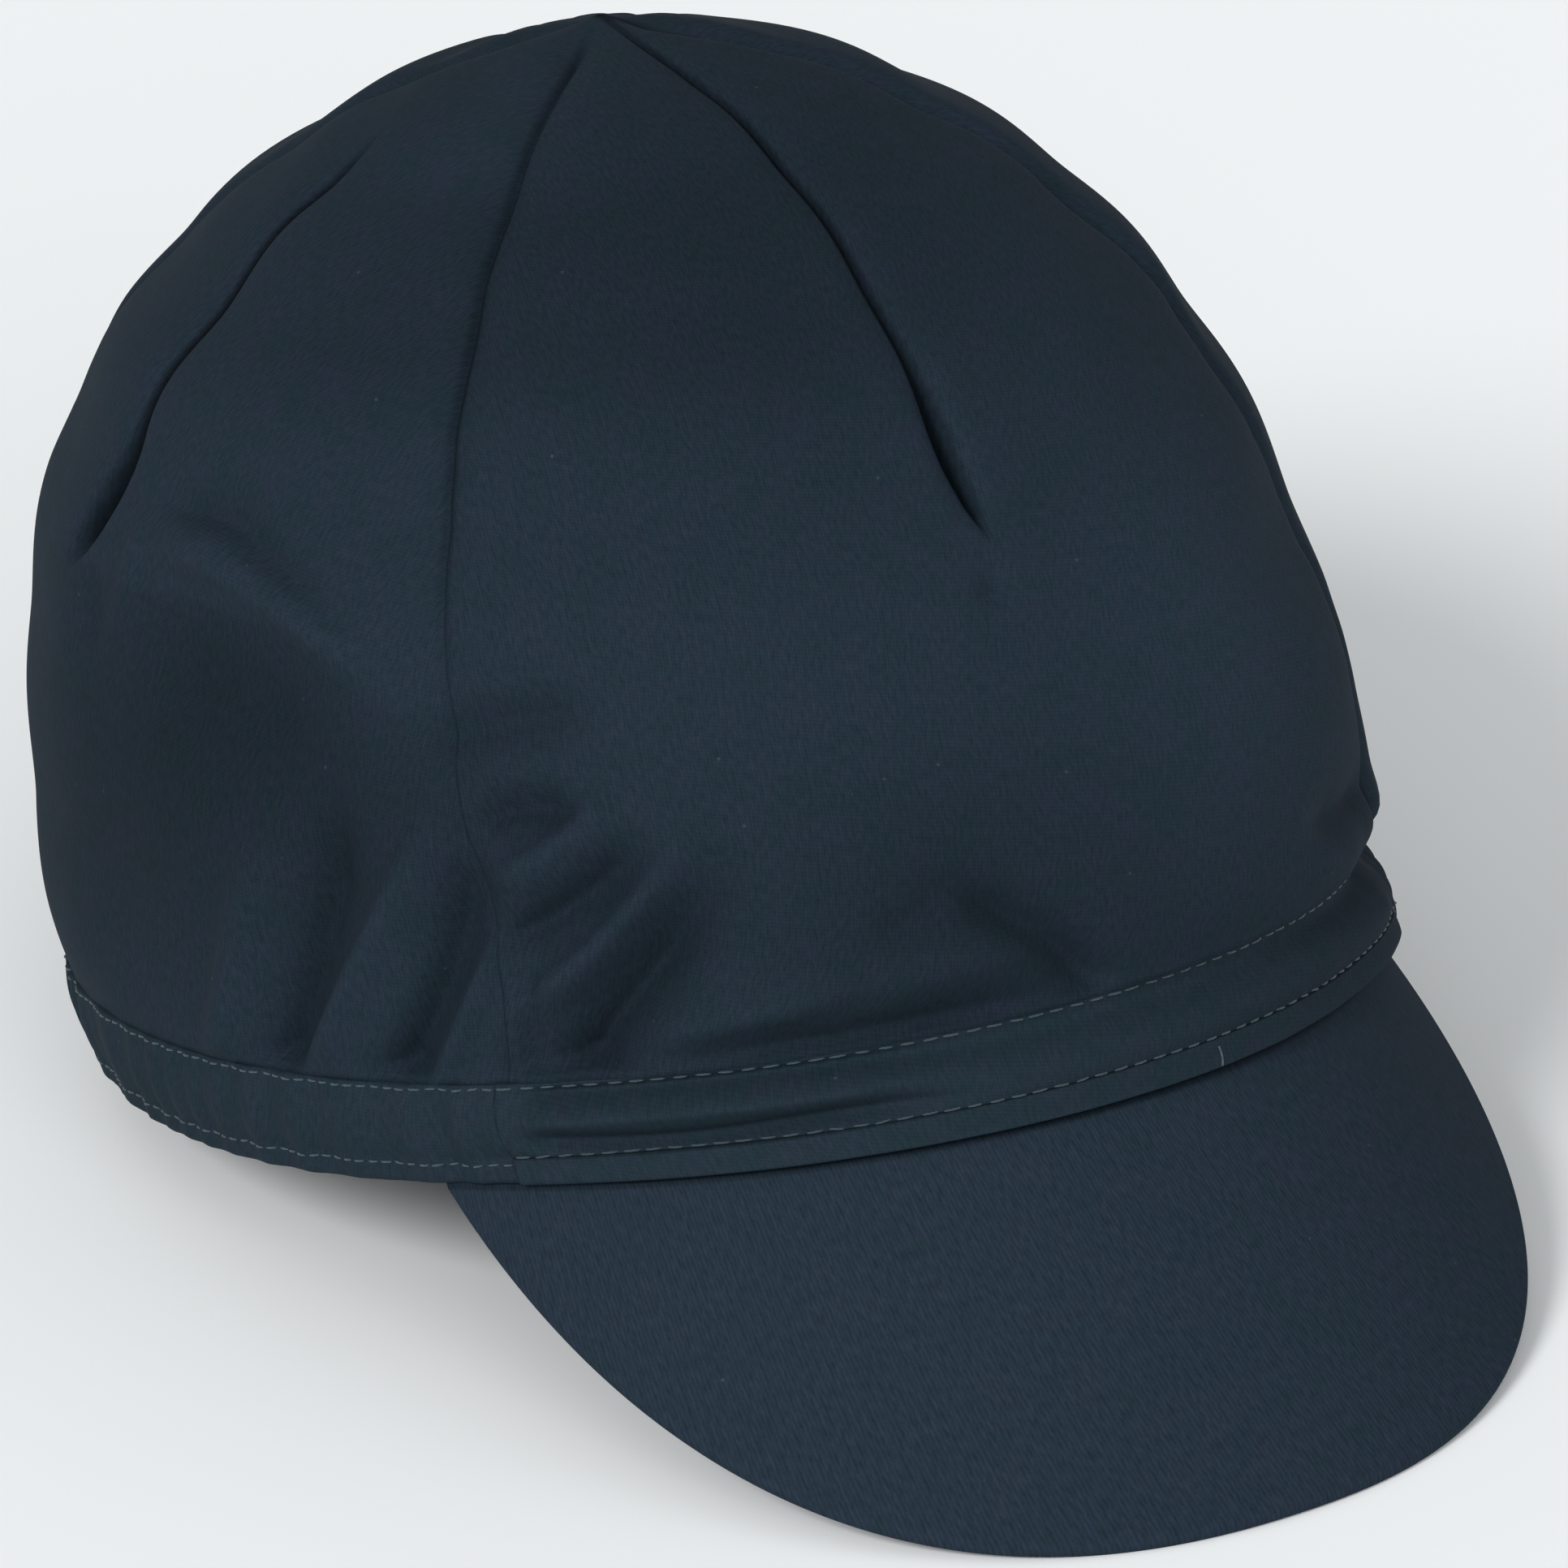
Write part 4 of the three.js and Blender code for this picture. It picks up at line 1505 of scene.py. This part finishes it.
@dataclass
class Stitching:
    """The rows of lockstitch along the band, one short raised thread for each stitch.

    arch_rise and sunk_share are how far a stitch rises in its middle and starts below the cloth, as shares
    of the thread's radius, and end_share is how thin its ends are.
    """

    form: CapForm
    band: Band
    front_pitch: float = 2.8
    rear_pitch: float = 2.1
    shown_share: float = 0.74
    radius: float = 0.145
    end_share: float = 0.5
    arch_rise: float = 1.35
    sunk_share: float = 0.75
    place_change: float = 0.05
    length_change: tuple[float, float] = (0.88, 1.1)
    slant_change: float = 0.05
    upper_inset: float = 0.45
    lower_inset: float = 0.25
    rear_drop: float = 0.9
    path_points: int = 4000
    rings: int = 9
    sides: int = 8
    side_step: float = 0.2
    seed: int = 71

    def path(
        self,
        height: float,
        start: float,
        end: float,
        relief: Callable[[np.ndarray, np.ndarray], np.ndarray],
    ) -> tuple[np.ndarray, np.ndarray]:
        """A line along the band that the stitches follow.

        Args:
            height: height of the row.
            start: first angle.
            end: last angle.
            relief: how far the cloth stands out there.

        Returns:
            Points in mm, and how far each lies along the row.
        """
        angles = np.linspace(start, end, self.path_points)
        heights = np.full(angles.shape, height)
        points = self.band.surface(heights, angles, relief(heights, angles))
        run = np.concatenate([[0.0], np.cumsum(np.linalg.norm(np.diff(points, axis=0), axis=-1))])
        return points, run

    def row(
        self,
        name: str,
        points: np.ndarray,
        run: np.ndarray,
        pitch: float,
        seed: int,
    ) -> bpy.types.Object:
        """Makes one row of stitches.

        Args:
            name: the piece's name.
            points: points of the row in mm.
            run: how far each point lies along the row.
            pitch: the length from one stitch to the next.
            seed: picks the small differences between stitches.

        Returns:
            The new object.
        """
        draw = np.random.default_rng(seed)
        count = int(run[-1] / pitch)
        first_gap = 0.15
        moved = draw.uniform(-self.place_change, self.place_change, count)
        starts = (np.arange(count) + first_gap + moved) * run[-1] / count
        shown = pitch * self.shown_share * draw.uniform(*self.length_change, count)
        slant = draw.normal(0.0, self.slant_change, count)
        t = np.linspace(0.0, 1.0, self.rings)
        place = starts[:, None] + shown[:, None] * t[None, :]
        centre = np.stack([np.interp(place, run, points[:, axis]) for axis in range(3)], axis=-1)
        look_ahead = 0.3
        ahead = np.stack([np.interp(place + look_ahead, run, points[:, axis]) for axis in range(3)], axis=-1)
        along = ahead - centre
        along /= np.linalg.norm(along, axis=-1, keepdims=True)
        up = np.array([0.0, 0.0, 1.0])
        out = np.cross(along, np.broadcast_to(up, along.shape))
        out /= np.linalg.norm(out, axis=-1, keepdims=True)
        out *= np.sign((out * centre)[..., :2].sum(axis=-1, keepdims=True))
        side = np.cross(out, along)
        arch = np.sin(np.pi * t) ** 0.5
        lift = self.radius * (self.arch_rise * arch - self.sunk_share)
        centre = centre + out * lift[None, :, None] + side * (slant[:, None] * (t - 0.5) * 2)[..., None]
        thick = self.radius * (self.end_share + (1 - self.end_share) * arch)
        around = np.linspace(0.0, math.tau, self.sides, endpoint=False)
        ring = out[:, :, None] * np.cos(around)[:, None] + side[:, :, None] * np.sin(around)[:, None]
        corners = centre[:, :, None] + ring * thick[None, :, None, None]
        return self.tubes(name, corners, pitch)

    def tubes(self, name: str, corners: np.ndarray, pitch: float) -> bpy.types.Object:
        """Joins rings of corners into closed tubes.

        Args:
            name: the piece's name.
            corners: corners by stitch, ring and side, in mm.
            pitch: length of a stitch, for its UV map.

        Returns:
            The new object.
        """
        count, rings, sides = corners.shape[:3]
        number = np.arange(count * rings * sides).reshape(count, rings, sides)
        after = np.roll(number, -1, axis=2)
        walls = np.stack([number[:, :-1], after[:, :-1], after[:, 1:], number[:, 1:]], axis=-1).reshape(-1, 4)
        caps = []
        for ring, flipped in ((number[:, 0], True), (number[:, -1], False)):
            for first in range(0, sides - 2, 2):
                quad = ring[:, [0, first + 1, first + 2, (first + 3) % sides]]
                caps.append(quad[:, ::-1] if flipped else quad)
        faces = np.concatenate([walls, *caps])
        u = np.broadcast_to(np.linspace(0, pitch, rings)[None, :, None], corners.shape[:3])
        v = np.broadcast_to((np.arange(sides) * self.side_step)[None, None, :], corners.shape[:3])
        cloth = np.stack([u, v], axis=-1).reshape(-1, 2)
        return MeshMaker.make(name, self.form.at_rest(corners).reshape(-1, 3), faces, cloth)

    def build(self, thread: bpy.types.Material) -> None:
        """Makes and dresses the four rows.

        Args:
            thread: the thread's finish.
        """
        join = self.form.band_join
        upper = self.form.upper_stitch - self.upper_inset
        lower = self.form.lower_stitch + self.lower_inset
        front, rear = self.band.front_relief, self.band.rear_relief
        rows = {
            "stitches_upper_front": (upper, -join, join, front, self.front_pitch),
            "stitches_lower_front": (lower, -join, join, front, self.front_pitch),
            "stitches_upper_rear": (upper, join, WHOLE_TURN - join, rear, self.rear_pitch),
            "stitches_lower_rear": (lower - self.rear_drop, join, WHOLE_TURN - join, rear, self.rear_pitch),
        }
        for i, (name, (height, start, end, relief, pitch)) in enumerate(rows.items()):
            points, run = self.path(height, start, end, relief)
            dress(self.row(name, points, run, pitch, self.seed + i), thread)


@dataclass
class ThreadEnd:
    """The short end of thread that lies down the folded hem."""

    stitching: Stitching
    angle: float = -11.8
    top: float = 2.3
    foot: float = 0.3
    lean: float = 0.5
    proud_share: float = 0.5
    steps: int = 60

    def build(self, thread: bpy.types.Material) -> None:
        """Makes and dresses the thread end.

        Args:
            thread: the thread's finish.
        """
        heights = np.linspace(self.top, self.foot, self.steps)
        angles = self.angle + self.lean * np.linspace(0.0, 1.0, self.steps) ** 2
        band = self.stitching.band
        points = band.surface(heights, angles, band.hem_relief(heights, angles))
        run = np.concatenate([[0.0], np.cumsum(np.linalg.norm(np.diff(points, axis=0), axis=-1))])
        t = np.linspace(0.0, run[-1], self.stitching.rings)
        centre = np.stack([np.interp(t, run, points[:, axis]) for axis in range(3)], axis=-1)
        share = band.form.share_at(np.interp(t, run, heights))
        out = band.form.level_normal(share, np.interp(t, run, angles))
        side = np.cross(out, np.gradient(centre, axis=0))
        side /= np.linalg.norm(side, axis=-1, keepdims=True)
        radius = self.stitching.radius
        around = np.linspace(0.0, math.tau, self.stitching.sides, endpoint=False)
        ring = out[:, None] * np.cos(around)[:, None] + side[:, None] * np.sin(around)[:, None]
        corners = (centre + out * radius * self.proud_share)[:, None] + ring * radius
        piece = self.stitching.tubes("thread_end", corners[None], run[-1])
        dress(piece, thread)


@dataclass(frozen=True)
class Lamp:
    """A wide far light, which lights the floor evenly.

    aside is how far it stands to the camera's right and above how far above the camera's line of sight, as
    shares of its distance. strength is that on a surface that faces it, and spread is how wide it looks
    from the cap, in degrees.
    """

    name: str
    aside: float
    above: float
    strength: float
    spread: float


@dataclass
class Studio:
    """A floor of pale matt paper, soft lights and the camera."""

    focal_length: float = 214.0
    sensor: float = 36.0
    camera_place: tuple[float, float, float] = (-0.5517, -0.92824, 0.56105)
    camera_right: tuple[float, float, float] = (0.85654, -0.51598, -0.01048)
    camera_up: tuple[float, float, float] = (0.22888, 0.36183, 0.90371)
    camera_back: tuple[float, float, float] = (-0.46248, -0.77649, 0.42798)
    nearest: float = 0.05
    farthest: float = 50.0
    floor_side: float = 30.0
    floor_roughness: float = 0.9
    floor_specular: float = 0.1
    backdrop: str = "f4f6f7"
    surround_strength: float = 0.5
    lamps: tuple[Lamp, ...] = (
        Lamp("key", -0.6, 0.3, 1.95, 20.0),
        Lamp("fill", 0.2, -0.1, 1.45, 50.0),
    )

    def floor(self) -> None:
        """Lays the floor."""
        half = self.floor_side / 2
        corners = np.array([(-half, -half, 0), (half, -half, 0), (half, half, 0), (-half, half, 0)], float)
        floor = MeshMaker.make("floor", corners, np.array([[0, 1, 2, 3]]), corners[:, :2])
        material = bpy.data.materials.new("matt_paper")
        material.use_nodes = True
        skin = material.node_tree.nodes["Principled BSDF"]
        skin.inputs["Base Color"].default_value = linear(self.backdrop)
        skin.inputs["Roughness"].default_value = self.floor_roughness
        skin.inputs["Specular IOR Level"].default_value = self.floor_specular
        floor.data.materials.append(material)

    def light(self, lamp: Lamp) -> None:
        """Hangs one light.

        Args:
            lamp: the light.
        """
        data = bpy.data.lights.new(lamp.name, "SUN")
        data.energy = lamp.strength
        data.angle = math.radians(lamp.spread)
        hung = bpy.data.objects.new(lamp.name, data)
        back, right, up = Vector(self.camera_back), Vector(self.camera_right), Vector(self.camera_up)
        towards = back + lamp.aside * right + lamp.above * up
        hung.rotation_euler = (-towards).to_track_quat("-Z", "Y").to_euler()
        bpy.context.scene.collection.objects.link(hung)

    def lights(self) -> None:
        """Sets the even surround light and hangs the studio lights."""
        world = bpy.data.worlds.new("studio")
        world.use_nodes = True
        surround = world.node_tree.nodes["Background"]
        surround.inputs["Color"].default_value = linear(self.backdrop)
        surround.inputs["Strength"].default_value = self.surround_strength
        bpy.context.scene.world = world
        for lamp in self.lamps:
            self.light(lamp)

    def camera(self) -> None:
        """Sets the camera where the photograph's was."""
        data = bpy.data.cameras.new("camera")
        data.lens = self.focal_length
        data.sensor_width = self.sensor
        data.clip_start = self.nearest
        data.clip_end = self.farthest
        eye = bpy.data.objects.new("camera", data)
        axes = Matrix([self.camera_right, self.camera_up, self.camera_back]).transposed().to_4x4()
        eye.matrix_world = Matrix.Translation(self.camera_place) @ axes
        bpy.context.scene.collection.objects.link(eye)
        bpy.context.scene.camera = eye
        bpy.context.scene.view_settings.view_transform = "Standard"

    def build(self) -> None:
        """Makes the whole studio."""
        self.floor()
        self.lights()
        self.camera()


def main() -> None:
    """Builds the studio and the cap, piece by piece."""
    logging.basicConfig(level=logging.INFO, format="%(name)s %(message)s")
    Studio().build()
    form = CapForm()
    crown_cloth = WovenCotton(
        name="plain_woven_cotton_crown",
        weave=Weave.PLAIN,
        deep="1b272f",
        light="1e2732",
        thread_pitch=0.45,
        relief=0.05,
        grain=0.34,
        # The crown's cloth takes the painted light and shade from its mesh
        shows_painted_shade=True,
    ).material()
    band_cloth = WovenCotton(
        name="plain_woven_cotton_band",
        weave=Weave.PLAIN,
        deep="1b282f",
        light="1f2832",
        thread_pitch=0.45,
        relief=0.05,
    ).material()
    cover = WovenCotton(
        name="cotton_twill_cover",
        weave=Weave.TWILL,
        deep="1e2a33",
        light="212a36",
        thread_pitch=0.55,
        relief=0.07,
        grain=0.36,
        streak_slant=-99.0,
        # Painted shade under the hem's edge
        cleft_shade=0.32,
    ).material()
    thread = SewingThread().material()
    Crown(form).build(crown_cloth)
    band = Band(form)
    band.build(band_cloth)
    Peak(form).build(cover)
    stitching = Stitching(form, band)
    stitching.build(thread)
    ThreadEnd(stitching).build(thread)


if __name__ == "__main__":
    main()
